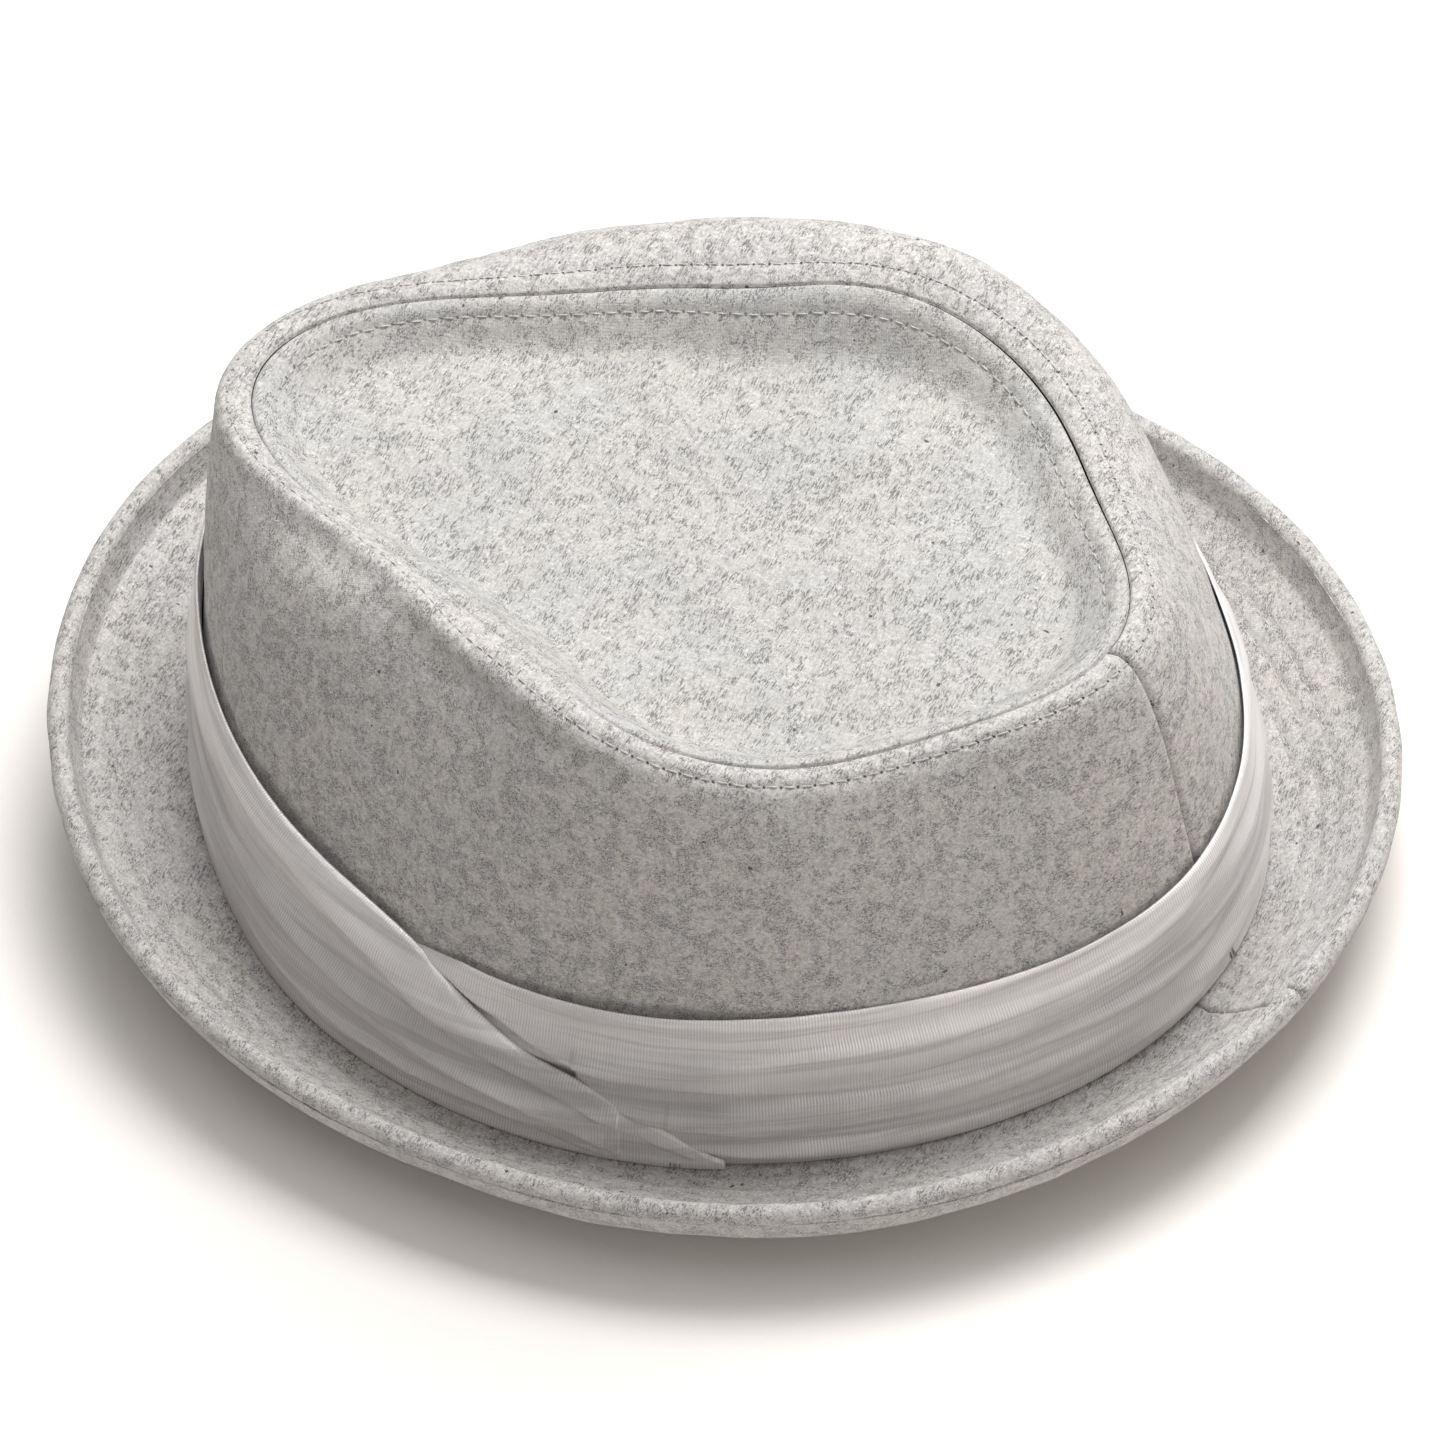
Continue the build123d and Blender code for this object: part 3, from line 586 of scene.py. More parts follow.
def brim_mid(t, K=161):
    """Middle surface of the brim: distance out from the crown and height, each (n, K), evenly spaced along it."""
    w, h, zb = wave(t, BRIM_OUT)[:, None], wave(t, BRIM_UP)[:, None], wave(t, FOOT_Z)[:, None]
    half = BRIM_THICK / 2
    flat_z = zb - half
    kn, kz = w - LIP_IN + 0.9, zb + h - LIP_UP - half + 0.4
    en, ez = w, zb + h
    slope = (kz - flat_z) / (kn - 3.0)
    u = np.linspace(0, 1, 61)[None]
    h00, h01, h11 = 2 * u ** 3 - 3 * u ** 2 + 1, -2 * u ** 3 + 3 * u ** 2, u ** 3 - u ** 2
    n1 = 3.0 + (kn - 3.0) * u
    z1 = h00 * flat_z + h01 * kz + h11 * (kn - 3.0) * slope * 1.15
    v = np.linspace(0, 1, 21)[None, 1:]
    n2 = kn + (en - kn) * (v * 0.75 + 0.25 * v * (2 - v))
    z2 = kz + (ez - kz) * (v * 0.75 + 0.25 * v * v)
    n0 = np.linspace(EDGE_OF_FOOT, 3.0, 12)[None, :-1] + 0 * w
    z0 = flat_z + 0 * n0
    n, z = np.concatenate([n0, n1, n2], 1), np.concatenate([z0, z1, z2], 1)
    s = np.concatenate([np.zeros((len(t), 1)), np.cumsum(np.hypot(np.diff(n, axis=1), np.diff(z, axis=1)), 1)], 1)
    N2, Z2 = np.empty((len(t), K)), np.empty((len(t), K))
    for i in range(len(t)):
        q = np.linspace(0, s[i, -1], K)
        N2[i], Z2[i] = np.interp(q, s[i], n[i]), np.interp(q, s[i], z[i])
    # The crease is rounded over about a millimetre.
    ker = np.exp(-0.5 * (np.arange(-9, 10) / 3.2) ** 2)
    ker /= ker.sum()
    pad_n = np.concatenate([2 * N2[:, :1] - N2[:, 9:0:-1], N2, 2 * N2[:, -1:] - N2[:, -2:-11:-1]], 1)
    pad_z = np.concatenate([2 * Z2[:, :1] - Z2[:, 9:0:-1], Z2, 2 * Z2[:, -1:] - Z2[:, -2:-11:-1]], 1)
    N2 = np.stack([np.convolve(a, ker, "valid") for a in pad_n])
    Z2 = np.stack([np.convolve(a, ker, "valid") for a in pad_z])
    return N2, Z2, s[:, -1]


mid_n, mid_z, mid_len = brim_mid(thb)
Pf, Nf = foot_frame(thb)


def brim_3d(n, z):
    return np.concatenate([Pf[:, None] + Nf[:, None] * n[..., None], z[..., None]], -1)


def brim_face(off, q, relief, wrap):
    """One face. q (m,) fractions along the middle surface, relief (n, m) outwards, wrap (w,) angles past the edge."""
    K = mid_n.shape[1]
    f = q * (K - 1)
    i0 = np.clip(f.astype(int), 0, K - 2)
    fr = f - i0
    n = mid_n[:, i0] * (1 - fr) + mid_n[:, i0 + 1] * fr
    z = mid_z[:, i0] * (1 - fr) + mid_z[:, i0 + 1] * fr
    tn, tz = np.gradient(mid_n, axis=1), np.gradient(mid_z, axis=1)
    m = np.hypot(tn, tz)
    tn, tz = tn / m, tz / m
    a, b = tn[:, i0] * (1 - fr) + tn[:, i0 + 1] * fr, tz[:, i0] * (1 - fr) + tz[:, i0 + 1] * fr
    sg = 1 if off > 0 else -1
    r = off + sg * relief
    n1, z1 = n - b * r, z + a * r
    if len(wrap):
        en, ez, et, eu = mid_n[:, -1:], mid_z[:, -1:], tn[:, -1:], tz[:, -1:]
        R = abs(off) + relief[:, -1:]
        ca, sa = np.cos(wrap)[None], np.sin(wrap)[None]
        wn = en + R * (ca * et - sa * eu)
        wz = ez + R * (ca * eu + sa * et)
        n1, z1 = np.concatenate([n1, wn], 1), np.concatenate([z1, wz], 1)
    return brim_3d(n1, z1)


HALF = BRIM_THICK / 2
q_top = np.concatenate([np.linspace(0, 1, 66)])
dist = mid_len[:, None] * q_top[None]               # mm from the brim's inner edge
out = dist + EDGE_OF_FOOT                            # mm out from the crown
rows_at = [4.6, 9.2, 13.8, 18.4]
n_brim = 206
count_b = (thb - thb[0]) / TWO_PI * n_brim
tb2 = thb[:, None]
top_relief = np.zeros_like(dist)
for k, ra in enumerate(rows_at):
    wob = 0.35 * soft_noise(tb2, 0, 40 + k, 3, 14)
    fr_b = np.abs((count_b[:, None] + 0.37 * k + 0.5) % 1 - 0.5) * PITCH
    top_relief += -0.26 * bump(out - ra - wob, 0.8) * (0.6 + 0.4 * np.exp(-(fr_b / 0.8) ** 2)) * (0.75 + 0.35 * soft_noise(tb2, 0, 80 + k, 10, 34))
    top_relief += 0.10 * bump(out - ra - wob - 2.3, 1.2)
top_relief += 0.10 * soft_noise(tb2, out, 31, 20, 60, 0.12, 30) * smooth(1, 5, out)
top_relief += 0.22 * soft_noise(tb2, out, 33, 5, 16, 0.05, 20) * smooth(2, 8, out) * (1 - smooth(22, 27, out))
xb = ((tb2 - BRIM_SEAM + math.pi) % TWO_PI - math.pi) * 118.0
top_relief += -0.45 * bump(xb, 0.40) + 0.10 * bump(np.abs(xb) - 1.5, 0.9)
wrap_top = np.radians(np.array([78, 64, 50, 36, 22, 8, -8, -22, -36, -50, -62, -72, -79, -82]))
brim_top_outer = brim_face(HALF, q_top, top_relief, wrap_top)
q_in = np.linspace(1, 0, 16)
brim_top_inner = brim_face(0.44, q_in, np.zeros((NB + 1, 16)), [])
wrap_u = np.radians(np.array([88.5, 86.5, 84.5, 83]))
q_un = np.linspace(0, 1, 54)
dist_u = mid_len[:, None] * q_un[None] + EDGE_OF_FOOT
un_relief = 0.08 * soft_noise(tb2, dist_u, 51, 20, 60, 0.12, 30) + 0.16 * soft_noise(tb2, dist_u, 53, 5, 16, 0.05, 20) * smooth(3, 9, dist_u)
for k, ra in enumerate(rows_at):
    un_relief += -0.26 * bump(dist_u - ra, 0.8) + 0.10 * bump(dist_u - ra - 2.3, 1.2)
un_relief += -0.75 * bump(xb, 0.45) + 0.14 * bump(np.abs(xb) - 1.5, 0.9)
brim_un_outer = brim_face(-HALF, q_un, un_relief, wrap_u)
brim_un_inner = brim_face(-0.44, q_in, np.zeros((NB + 1, 16)), [])


def press(P):
    """The underside gives where the hat rests: nothing goes below the table."""
    W = settle(P)
    low = W[..., 2]
    soft = 0.00012
    lift_by = np.where(low < soft, soft * np.exp(np.clip((low - soft) / soft, -60, 0)) - low, 0.0)
    out = P.copy()
    out[..., 2] += np.maximum(lift_by, 0) * 1000
    return out


ub = count_b[:, None]
Vt = np.concatenate([out, out[:, -1:] + np.arange(1, len(wrap_top) + 1)[None] * 0.5], 1)
brim_top = ring_shell("felt_brim_top", brim_top_outer, brim_top_inner, ub.repeat(Vt.shape[1], 1), Vt, close_u=False)
Vu = np.concatenate([dist_u, dist_u[:, -1:] + np.arange(1, len(wrap_u) + 1)[None] * 0.5], 1)
brim_under = ring_shell("felt_brim_under", press(brim_un_outer), press(brim_un_inner), ub.repeat(Vu.shape[1], 1), Vu + 1000, close_u=False, flip=True)
core_a = brim_face(0.32, np.linspace(0.01, 0.93, 24), np.zeros((NB + 1, 24)), [])
core_b = brim_face(-0.32, np.linspace(0.93, 0.01, 24), np.zeros((NB + 1, 24)), [])
core = ring_shell("brim_core", press(core_a), press(core_b), ub.repeat(24, 1), np.linspace(0, 28, 24)[None].repeat(NB + 1, 0), close_u=False)

bn = surface_normals(brim_top_outer, False)
bn *= np.sign(bn[:, 20:21, 2:3])
parts = []
for k, ra in enumerate(rows_at):
    wob = 0.35 * soft_noise(thb, 0, 40 + k, 3, 14)
    P, N = np.empty((NB + 1, 3)), np.empty((NB + 1, 3))
    for i in range(NB + 1):
        f = np.interp(ra + wob[i], out[i], np.arange(out.shape[1]))
        i0 = int(f)
        P[i] = brim_top_outer[i, i0] * (1 - f + i0) + brim_top_outer[i, i0 + 1] * (f - i0)
        N[i] = bn[i, i0]
    parts.append(stitch_row(P, N, PITCH, closed=False, radius=0.18, rise=0.0, sink=0.5, cover=0.8, count=n_brim, phase=-0.37 * k % 1))
verts, faces = join_parts(parts)
brim_rows = make_object("brim_stitching", settle(verts), faces)


# ------------------------------------------------------------------ hatband
PHI0, PHI1, LIFTS = -33.0, 385.0, 303.0
NBAND = 1300
CROSS = np.array([(333, 1.0), (336, 1.0), (342, .97), (347, .89), (354, .73), (360, .62), (366, .53), (372, .40), (378, .25), (383, .09), (386, .012)])
FOLDS = [  # (angle, fraction of the height) along the fold, then height of the step in mm at each point
    (np.array([(300, .56), (318, .51), (336, .45), (344, .38), (354, .33), (360, .28), (366, .18), (372, .03)]), np.array([0, .5, 1.1, 1.3, 1.3, 1.2, 1.0, .5])),
    (np.array([(318, .20), (332, .17), (344, .15), (354, .17), (362, .11), (370, .03)]), np.array([0, .4, .9, 1.0, .9, .4])),
    (np.array([(312, .86), (328, .82), (340, .72), (352, .56), (362, .44), (372, .27), (381, .07)]), np.array([0, .25, .6, .8, .8, .7, .3])),
    (np.array([(-33, .93), (-14, .90), (-6, .78), (2, .66), (8, .60), (18, .56), (24, .55), (40, .50), (62, .47), (84, .45)]), np.array([.6, .9, 1.0, 1.1, 1.2, 1.1, 1.0, .6, .25, 0])),
    (np.array([(6, .42), (14, .33), (18, .30), (26, .25), (40, .18), (58, .14), (80, .12)]), np.array([.9, 1.1, 1.1, 1.0, .6, .25, 0])),
    (np.array([(18, .14), (26, .09), (40, .04), (56, .02)]), np.array([.7, .8, .5, 0])),
    (np.array([(112, .64), (140, .60), (175, .62), (208, .58), (236, .62), (262, .60), (290, .57), (304, .56)]), np.array([0, .4, .6, .5, .6, .5, .2, 0])),
    (np.array([(122, .30), (150, .33), (186, .29), (220, .33), (250, .28), (282, .26), (310, .22)]), np.array([0, .5, .5, .6, .5, .3, 0])),
]


def path(line, values, at):
    """Smooth curve through the given points of a fold or edge, by angle."""
    g = np.arange(-60.0, 420.0, 0.5)
    v = np.interp(g, line, values)
    k = np.exp(-0.5 * (np.arange(-12, 13) / 5.0) ** 2)
    v = np.convolve(np.pad(v, 12, mode="edge"), k / k.sum(), "valid")
    return np.interp(at, g, v)


def band_relief(phi, f, H):
    """How far the satin stands out over its flat lie, from its folds, in mm. phi in degrees."""
    out = 0.0
    for line, step in FOLDS:
        F = path(line[:, 0], line[:, 1], phi)
        a = np.interp(phi, line[:, 0], step, left=0, right=0)
        e = (f - F) * H
        up = 1 / (1 + np.exp(-np.clip(e / 0.22, -40, 40)))
        out = out + 1.85 * a * (up * (0.25 + 0.75 * np.exp(-np.maximum(e, 0) / 4.0)) - 0.35 * np.exp(-np.abs(e) / 1.5) * (1 - up) - 0.16 * up)
    return out


def band_grid(phi, v, inner=False):
    """Points of the band. phi (n,) degrees, v (m,) from 0 at the lower edge to 1 at the upper edge."""
    t = np.radians(phi)
    lo = wave(t, FOOT_Z)[:, None] + 0.25
    H = band_top(t)[:, None] - lo
    over = smooth(LIFTS, 328.0, phi)[:, None]
    ftop = (np.where(phi > 333, path(CROSS[:, 0], CROSS[:, 1], phi), 1.0) * np.interp(phi, [-33, -24, -17, -11], [0.80, 0.88, 0.96, 1.0]))[:, None]
    f = v[None] * ftop
    ph = phi[:, None] + 0 * f
    e_top = (1 - v[None]) * ftop * H                    # mm below the upper edge
    e_low = f * H
    cross = smooth(338, 350, phi)[:, None]              # the free edge of the front end lies down on the strip below
    flat = 1.15 + 1.60 * over - 0.55 * cross * np.exp(-e_top / 2.2)
    flat = flat - (0.50 + 0.95 * over) * (1 - cross) * np.exp(-e_top / 2.6)      # the upper edge lies close to the felt
    flat = flat + 0.20 * bump(e_top, 1.0) * (1 - cross) + 0.25 * smooth(0, 14, e_low) * smooth(0, 10, e_top)
    wav = 0.30 * soft_noise(np.radians(ph), 0, 61, 4, 13) + 0.10 * soft_noise(np.radians(ph), e_low, 63, 16, 50, 0.06, 24)
    # Long soft waves that run along the strip, where the pleats aren't pressed.
    wav = wav + 0.55 * np.sin(TWO_PI * (e_low / 12.5 + 0.35 * np.sin(np.radians(ph) * 2 + 0.7) + 0.22 * np.sin(np.radians(ph) * 5 + 2.0)))
    wav = wav + 0.22 * np.sin(TWO_PI * (e_low / 6.1 + 0.45 * np.sin(np.radians(ph) * 3 + 1.9) + 0.2 * np.sin(np.radians(ph) * 8 + 0.4)))
    edge_fade = smooth(0, 5, e_low)
    flat = flat + wav * edge_fade * (0.35 + 0.65 * smooth(0, 5, e_top)) * 1.05
    rel = band_relief(ph, f, H) * smooth(0, 2.0, e_low) * (1 - 0.75 * bump(e_top, 1.2))
    off = flat + rel
    thick = 0.85 if not inner else 0.0
    # Rounded long edges.
    if not inner:
        off = off - 0.42 * bump(e_top, 0.28) - 0.30 * bump(e_low, 0.35)
    P, _ = wall_at_height(t, lo + f * H, off + thick)
    return P, e_low, H


phi = np.unique(np.concatenate([np.linspace(PHI0, PHI1, NBAND), [334, 346, 360, 372]]))
v_out = np.concatenate([[0, .006, .014, .026, .042], np.linspace(.06, .94, 70), [.958, .972, .983, .992, .997, 1.0]])
v_in = np.linspace(1, 0, 22)
band_o, e_low, H = band_grid(phi, v_out)
band_i, _, _ = band_grid(phi, v_in, inner=True)
arc = np.concatenate([[0], np.cumsum(np.linalg.norm(np.diff(band_o[:, 0], axis=0), axis=1))])
hatband = ring_shell("satin_hatband", band_o, band_i, arc[:, None].repeat(len(v_out), 1), e_low, close_u=False)


def stay():
    t = open_angles(360, math.radians(200), 0.5)
    lo = wave(t, FOOT_Z)[:, None] + 2.2
    hi = band_top(t)[:, None] - 4.0
    q = np.linspace(0, 1, 12)[None]
    z = lo + (hi - lo) * q
    a, _ = wall_at_height(t, z, 0.62)
    b, _ = wall_at_height(t, z, 0.28)
    return ring_shell("stay_strip", a, b[:, ::-1], (t * 92)[:, None].repeat(12, 1), z, close_u=False)


stay_strip = stay()


def tacks():
    parts = []
    for deg, f0, n in ((379, 0.04, 3), (90, 0.04, 2), (200, 0.04, 2), (270, 0.04, 2)):
        for k in range(n):
            g = np.random.default_rng(int(deg) * 10 + k)
            c = np.array([deg + (k - (n - 1) / 2) * 0.55])
            vv = np.linspace(0.02, 0.02 + 0.06 / (0.25 if deg > 370 else 1.0), 9)
            P, _, _ = band_grid(np.array([c[0] - 0.05, c[0], c[0] + 0.05]), vv)
            N = surface_normals(P, False)[1]
            p = P[1]
            N = N * np.sign((N * np.stack([p[:, 0], p[:, 1], 0 * p[:, 0]], -1)).sum(-1, keepdims=True))
            a = np.linspace(0, 1, 9)
            pos = (p + N * (-0.3 + 0.5 * np.sin(np.pi * a) ** 0.6)[:, None])[None]
            tan = np.gradient(pos, axis=1)
            tan /= np.linalg.norm(tan, axis=-1, keepdims=True)
            side = np.cross(tan, N[None])
            side /= np.linalg.norm(side, axis=-1, keepdims=True)
            parts.append(tube_segments(pos, side, np.cross(side, tan), np.full((1, 9), 0.17)))
    verts, faces = join_parts(parts)
    return make_object("hatband_tacks", settle(verts), faces)


tack_ob = tacks()


# ------------------------------------------------------------------ care label
def care_label():
    lo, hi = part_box("care_label")
    lo, hi = np.array(lo) * 1000, np.array(hi) * 1000
    nx, nz = 37, 45
    x = np.linspace(-12, 12, nx)
    z = np.linspace(0, 30, nz)                        # down from the sewn edge
    Xg, Zg = np.meshgrid(x, z, indexing="ij")
    cx = (lo[0] + hi[0]) / 2
    c, s = math.cos(TILT), math.sin(TILT)
    # Sewn edge and the direction in which the label hangs, in the standing frame.
    hinge = np.array([frame["joints"][0]["pos_m"][i] * 1000 for i in range(3)]) if frame["joints"] else np.array([cx, hi[1], hi[2]])
    down = np.array([0, s, -c])
    back = np.array([0, c, s])
    curl = 0.10 * np.sin(Xg / 12 * 1.6 + 0.5) * (Zg / 30) - 0.55 * (Zg / 30) ** 2.2 * np.abs(Xg / 12) ** 2
    corner = np.clip(np.hypot(np.maximum(np.abs(Xg) - 9.5, 0), np.maximum(Zg - 27.5, 0)) - 2.5, 0, None)
    shrink = 1 - corner / np.maximum(np.hypot(np.maximum(np.abs(Xg) - 9.5, 0), np.maximum(Zg - 27.5, 0)), 1e-6)
    Xr = np.sign(Xg) * (np.minimum(np.abs(Xg), 9.5) + np.maximum(np.abs(Xg) - 9.5, 0) * shrink)
    Zr = np.minimum(Zg, 27.5) + np.maximum(Zg - 27.5, 0) * shrink
    mid = hinge[None, None] + np.array([1, 0, 0]) * Xr[..., None] + down * Zr[..., None] + back * (curl - 0.0)[..., None]
    t = 0.16
    front, rear = mid - back * t, mid + back * t
    P = np.concatenate([front, rear[:, ::-1]], 1) / 1000
    nv = 2 * nz
    faces = grid_faces(nx, nv, False, True)
    cap0 = []
    cap1 = []
    for i in range(nz - 1):
        cap0.append([i, i + 1, nv - 2 - i, nv - 1 - i])
        b = (nx - 1) * nv
        cap1.append([b + i, b + nv - 1 - i, b + nv - 2 - i, b + i + 1])
    U = np.concatenate([Xg, Xg[:, ::-1]], 1)
    V = np.concatenate([Zg, Zg[:, ::-1]], 1)
    U, V = np.concatenate([U, U[:, :1]], 1), np.concatenate([V, V[:, :1]], 1)
    uvs = [grid_uvs(U, V, False, True), np.zeros((len(cap0), 4, 2)), np.zeros((len(cap1), 4, 2))]
    return make_object("blank_label", P.reshape(-1, 3), [faces, np.array(cap0), np.array(cap1)], uvs)


label = care_label()


# ------------------------------------------------------------------ materials
def new_material(name):
    m = bpy.data.materials.new(name)
    m.use_nodes = True
    nt = m.node_tree
    nt.nodes.clear()
    outn = nt.nodes.new("ShaderNodeOutputMaterial")
    bs = nt.nodes.new("ShaderNodeBsdfPrincipled")
    nt.links.new(bs.outputs["BSDF"], outn.inputs["Surface"])
    return m, nt, bs


class Net:
    """Short names for building a node tree."""

    def __init__(self, nt):
        self.nt = nt

    def node(self, kind, **props):
        n = self.nt.nodes.new(kind)
        for k, v in props.items():
            setattr(n, k, v)
        return n

    def put(self, socket, value):
        if isinstance(value, bpy.types.NodeSocket):
            self.nt.links.new(value, socket)
        else:
            socket.default_value = value

    def math(self, op, a, b=None, c=None, clamp=False):
        n = self.node("ShaderNodeMath", operation=op, use_clamp=clamp)
        self.put(n.inputs[0], a)
        if b is not None:
            self.put(n.inputs[1], b)
        if c is not None:
            self.put(n.inputs[2], c)
        return n.outputs[0]

    def noise(self, vec, scale, detail=2.0, rough=0.5, distort=0.0, dims="3D"):
        n = self.node("ShaderNodeTexNoise", noise_dimensions=dims)
        self.put(n.inputs["Vector"], vec)
        n.inputs["Scale"].default_value = scale
        n.inputs["Detail"].default_value = detail
        n.inputs["Roughness"].default_value = rough
        n.inputs["Distortion"].default_value = distort
        return n.outputs["Fac"]

    def mapping(self, vec, scale=(1, 1, 1), rot=(0, 0, 0), loc=(0, 0, 0)):
        n = self.node("ShaderNodeMapping")
        self.put(n.inputs["Vector"], vec)
        n.inputs["Scale"].default_value = scale
        n.inputs["Rotation"].default_value = rot
        n.inputs["Location"].default_value = loc
        return n.outputs["Vector"]

    def ramp(self, fac, lo, hi, a=0.0, b=1.0):
        n = self.node("ShaderNodeMapRange", interpolation_type="SMOOTHSTEP")
        self.put(n.inputs["Value"], fac)
        n.inputs["From Min"].default_value = lo
        n.inputs["From Max"].default_value = hi
        n.inputs["To Min"].default_value = a
        n.inputs["To Max"].default_value = b
        return n.outputs["Result"]

    def mix(self, fac, a, b, blend="MIX"):
        n = self.node("ShaderNodeMix", data_type="RGBA", blend_type=blend)
        self.put(n.inputs[0], fac)
        self.put(n.inputs[6], a)
        self.put(n.inputs[7], b)
        return n.outputs[2]

    def coords(self):
        return self.node("ShaderNodeTexCoord").outputs["Object"]

    def uv(self):
        n = self.node("ShaderNodeUVMap", uv_map="cloth")
        s = self.node("ShaderNodeSeparateXYZ")
        self.nt.links.new(n.outputs["UV"], s.inputs[0])
        return n.outputs["UV"], s.outputs[0], s.outputs[1]

    def bump(self, height, strength, distance, normal=None):
        n = self.node("ShaderNodeBump")
        n.inputs["Strength"].default_value = strength
        n.inputs["Distance"].default_value = distance
        self.put(n.inputs["Height"], height)
        if normal is not None:
            self.put(n.inputs["Normal"], normal)
        return n.outputs["Normal"]


def rgb(r, g, b):
    return (r, g, b, 1.0)


def felt(name, holes=(), pitch=PITCH, light=(0.605, 0.590, 0.568), dark=(0.125, 0.122, 0.124), weave="wall", hole_shade_and_depth=0.9, heathery=1.0):
    """Heathered wool felt: pale matted wool with darker fibres lying in every direction, over a faint weave."""
    m, nt, bs = new_material(name)
    g = Net(nt)
    P = g.coords()
    clouds = g.noise(P, 45, 1.5, 0.5)
    heather = g.noise(P, 900, 3, 0.72, 0.5)
    fine = g.noise(P, 2300, 1.5, 0.6)
    clumps = g.noise(P, 300, 2, 0.6, 0.6)
    streaks = None
    for k, rot in enumerate(((0.3, 0.5, 0.2), (1.2, 0.1, 1.1), (0.6, 1.3, 2.1), (2.0, 0.7, 0.4))):
        n = g.noise(g.mapping(P, scale=(700, 3400, 3400), rot=rot, loc=(k * 3.1, k * 1.7, -k * 2.3)), 1.0, 0.5, 0.5, 0.9)
        q = g.ramp(n, 0.60, 0.70)
        streaks = q if streaks is None else g.math("MAXIMUM", streaks, q)
    lights = g.ramp(g.noise(g.mapping(P, scale=(2600, 560, 2600), rot=(0.8, 0.4, 0.9)), 1.0, 0.5, 0.5, 0.9), 0.58, 0.68)
    warm = rgb(light[0] * 1.02, light[1] * 1.0, light[2] * 0.97)
    cool = rgb(light[0] * 0.965, light[1] * 0.97, light[2] * 0.975)
    c = g.mix(g.ramp(clouds, 0.36, 0.64), cool, warm)
    mid = rgb(*[0.52 * a + 0.48 * b for a, b in zip(light, dark)])
    c = g.mix(g.math("MULTIPLY", g.ramp(heather, 0.44, 0.66), 0.56 * heathery), c, mid)
    c = g.mix(g.math("MULTIPLY", g.ramp(fine, 0.44, 0.62), 0.38), c, mid)
    c = g.mix(g.math("MULTIPLY", g.ramp(clumps, 0.46, 0.66), 0.20 + 0.42 * (heathery - 1.0)), c, mid)
    c = g.mix(g.math("MULTIPLY", lights, 0.45), c, rgb(*[min(x * 1.30, 0.82) for x in light]))
    patchy = g.ramp(clumps, 0.40, 0.58, 0.30, 1.0)
    c = g.mix(g.math("MULTIPLY", g.math("MULTIPLY", streaks, patchy), 0.85), c, rgb(*dark))
    speck = g.ramp(g.noise(P, 700, 0, 0.5), 0.855, 0.875)
    c = g.mix(g.math("MULTIPLY", speck, 0.85), c, rgb(0.025, 0.025, 0.03))
    _, u, d = g.uv()
    if weave == "flat":
        sx = g.node("ShaderNodeSeparateXYZ")
        nt.links.new(g.mapping(P, scale=(1000, 1000, 1000), rot=(0, 0, 0.45)), sx.inputs[0])
        wu, wv = sx.outputs[0], sx.outputs[1]
    else:
        wu, wv = g.math("MULTIPLY", u, pitch), d
    sag = g.math("MULTIPLY", g.noise(P, 190, 0, 0.5), 3.0)
    a1 = g.math("SINE", g.math("ADD", g.math("MULTIPLY", wu, TWO_PI / 0.62), sag))
    a2 = g.math("SINE", g.math("ADD", g.math("MULTIPLY", wv, TWO_PI / 0.62), sag))
    grid = g.math("ADD", g.math("MULTIPLY", g.math("MULTIPLY", a1, a2), 0.5), 0.5)
    c = g.mix(g.math("MULTIPLY", g.math("SUBTRACT", 1.0, grid), 0.20), c, mid)
    height = g.math("ADD", g.math("MULTIPLY", heather, 0.50), g.math("MULTIPLY", fine, 0.45))
    height = g.math("ADD", height, g.math("MULTIPLY", grid, 0.18))
    if holes:
        att = g.node("ShaderNodeAttribute", attribute_type="GEOMETRY", attribute_name="plain")
        seen = g.math("SUBTRACT", 1.0, att.outputs["Fac"], clamp=True)
        hole = None
        for dist, phase in holes:
            fr = g.math("SUBTRACT", g.math("FRACT", g.math("ADD", u, 0.5 + phase)), 0.5)
            dx = g.math("MULTIPLY", fr, pitch)
            dy = g.math("SUBTRACT", d, dist)
            rr = g.math("SQRT", g.math("ADD", g.math("POWER", dx, 2.0), g.math("POWER", dy, 2.0)))
            h = g.ramp(rr, 0.14, 0.40, 1.0, 0.0)
            hole = h if hole is None else g.math("MAXIMUM", hole, h)
        hole = g.math("MULTIPLY", hole, seen)
        # Stitch holes are painted near-black: painted shade in the holes, together with a dip in the bump height.
        c = g.mix(g.math("MULTIPLY", hole, hole_shade_and_depth), c, rgb(0.035, 0.033, 0.033))
        height = g.math("SUBTRACT", height, g.math("MULTIPLY", hole, 1.4 * hole_shade_and_depth))
    nt.links.new(c, bs.inputs["Base Color"])
    bs.inputs["Roughness"].default_value = 0.95
    bs.inputs["Specular IOR Level"].default_value = 0.10
    bs.inputs["Sheen Weight"].default_value = 0.14
    bs.inputs["Sheen Roughness"].default_value = 0.5
    bs.inputs["Sheen Tint"].default_value = (0.95, 0.94, 0.93, 1)
    nt.links.new(g.bump(height, 0.5, 0.00028), bs.inputs["Normal"])
    return m


